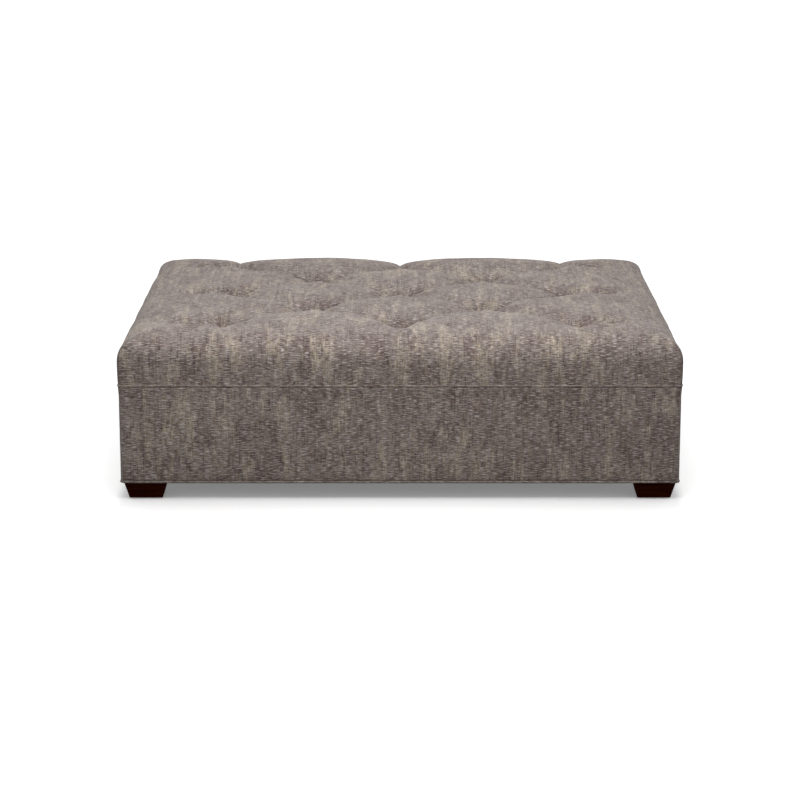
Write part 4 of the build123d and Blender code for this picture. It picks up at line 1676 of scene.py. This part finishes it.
@dataclass
class Studio:
    """Floor, lamps, world and camera."""

    reach: float = 20.0
    floor_height: float = -0.4 * MM
    floor_grey: float = 0.572
    # Painted shadow: the floor's glow to the camera is lowest over a rectangle round the object, and
    # rises over a band beyond it
    shadow_level: float = 0.19
    shadow_plan: Pair = (0.69, 0.66)
    side_sharpness: float = 4.0
    shadow_edge: Cover = Cover(0.0, 0.12, 0.22)
    bounce: float = 0.05
    sky: float = 0.635
    lamps: tuple = (
        Lamp("front", 3.3, (0.0, -1.05, 0.8), (1.6, 0.25), (0.0, -0.56, 0.3)),
        Lamp("overhead", 11.5, (0.0, 0.1, 2.2), (1.6, 1.0), (0.0, 0.0, 0.3)),
    )
    eye: Triple = (0.0, -6.553, 1.715)
    tilt: float = math.radians(76.35)
    lens: float = 112.5
    sensor: float = 36.0

    def seen(self, p: Paint) -> Signal:
        """Adds the share of rays that the room is white to.

        Args:
            p: the paint of the floor or the world.

        Returns:
            1 for the camera and for gloss and glass, else 0.
        """
        rays = ("Is Camera Ray", "Is Glossy Ray", "Is Transmission Ray")
        camera, gloss, glass = (p.node("ShaderNodeLightPath", output=name) for name in rays)
        return camera.largest(gloss).largest(glass)

    def grey(self, p: Paint, level: float) -> Signal:
        """Grey matt surface."""
        return p.node("ShaderNodeBsdfDiffuse", {}, {"Color": (level, level, level, 1.0)})

    def floor(self) -> Piece:
        """Pale floor that is white to the camera and keeps the shadow, with a painted shadow too: its
        glow to the camera is dimmer near the object.

        Returns:
            The floor.
        """
        bpy.ops.object.select_all(action="DESELECT")
        bpy.ops.mesh.primitive_plane_add(size=2 * self.reach, location=(0, 0, self.floor_height))
        piece = bpy.context.object
        piece.name = "floor"
        p = material_paint("floor")
        place = p.object_place()
        # Painted shadow: the emission dims towards the rectangle round the object
        aside, ahead = (
            p.node("ShaderNodeSeparateXYZ", {}, {0: place}, axis).size() - half
            for axis, half in enumerate(self.shadow_plan)
        )
        away = p.cover((self.side_sharpness * aside).largest(ahead), self.shadow_edge)
        painted_shadow_glow = p.tinted((1.0, 1.0, 1.0), self.shadow_level + away)
        lift = p.node("ShaderNodeEmission", {}, {"Color": painted_shadow_glow})
        half = self.grey(p, self.floor_grey)
        pale = p.node("ShaderNodeAddShader", {}, {0: half, 1: half})
        shown = p.node("ShaderNodeAddShader", {}, {0: pale, 1: lift})
        dull = self.grey(p, self.bounce)
        above = p.node("ShaderNodeMixShader", {}, {0: self.seen(p), 1: dull, 2: shown})
        clear = p.node("ShaderNodeBsdfTransparent")
        below = p.node("ShaderNodeNewGeometry", output="Backfacing")
        both = p.node("ShaderNodeMixShader", {}, {0: below, 1: above, 2: clear})
        p.node("ShaderNodeOutputMaterial", {}, {"Surface": both})
        piece.data.materials.append(p.owner)
        return piece

    def world(self) -> None:
        """White room, brighter to the camera than as a light."""
        p = Paint(bpy.data.worlds.new("studio"))
        light, white = (
            p.node("ShaderNodeBackground", {}, {"Color": WHITE, "Strength": strength})
            for strength in (self.sky, 1.0)
        )
        both = p.node("ShaderNodeMixShader", {}, {0: self.seen(p), 1: light, 2: white})
        p.node("ShaderNodeOutputWorld", {}, {"Surface": both})
        bpy.context.scene.world = p.owner

    def camera(self) -> None:
        """Camera at the photograph's viewing angle."""
        data = bpy.data.cameras.new("camera")
        data.lens = self.lens
        data.sensor_width = self.sensor
        holder = bpy.data.objects.new("camera", data)
        holder.location = self.eye
        holder.rotation_euler = (self.tilt, 0, 0)
        bpy.context.scene.collection.objects.link(holder)
        bpy.context.scene.camera = holder

    def build(self) -> None:
        """Sets up the whole studio."""
        self.floor()
        self.world()
        for lamp in self.lamps:
            lamp.build()
        self.camera()
        bpy.context.scene.view_settings.view_transform = "Standard"


def report(part: str, *pieces: Piece) -> None:
    """Logs the name and the face count of each piece."""
    for piece in pieces:
        log.info("%s: %s, %d faces", part, piece.name, len(piece.data.polygons))


def main() -> None:
    """Builds every sub-assembly in order and reports each piece."""
    logging.basicConfig(level=logging.INFO, format="%(name)s: %(message)s")
    top = TuftedTop()
    waist = Piping(
        name="waist_piping",
        node="upper_welt",
        half_x=698.8 * MM,
        half_y=559.3 * MM,
        corner_radius=12.3 * MM,
        height=294.1 * MM,
        flange=3 * MM,
    )
    lower = Piping(
        name="lower_piping",
        node="lower_welt",
        half_x=697.5 * MM,
        half_y=558 * MM,
        corner_radius=13 * MM,
        height=48.4 * MM,
        flange=16 * MM,
        flange_rise=2.6 * MM,
        map_shift=7.0,
    )
    report("top", top.build(), Buttons(top.tufts()).build())
    report("base", *Base().build())
    report("piping", waist.build(), lower.build())
    report("underside", DustCloth().build())
    log.info("fittings: %d nodes", Fittings().build())
    Studio().build()


if __name__ == "__main__":
    main()
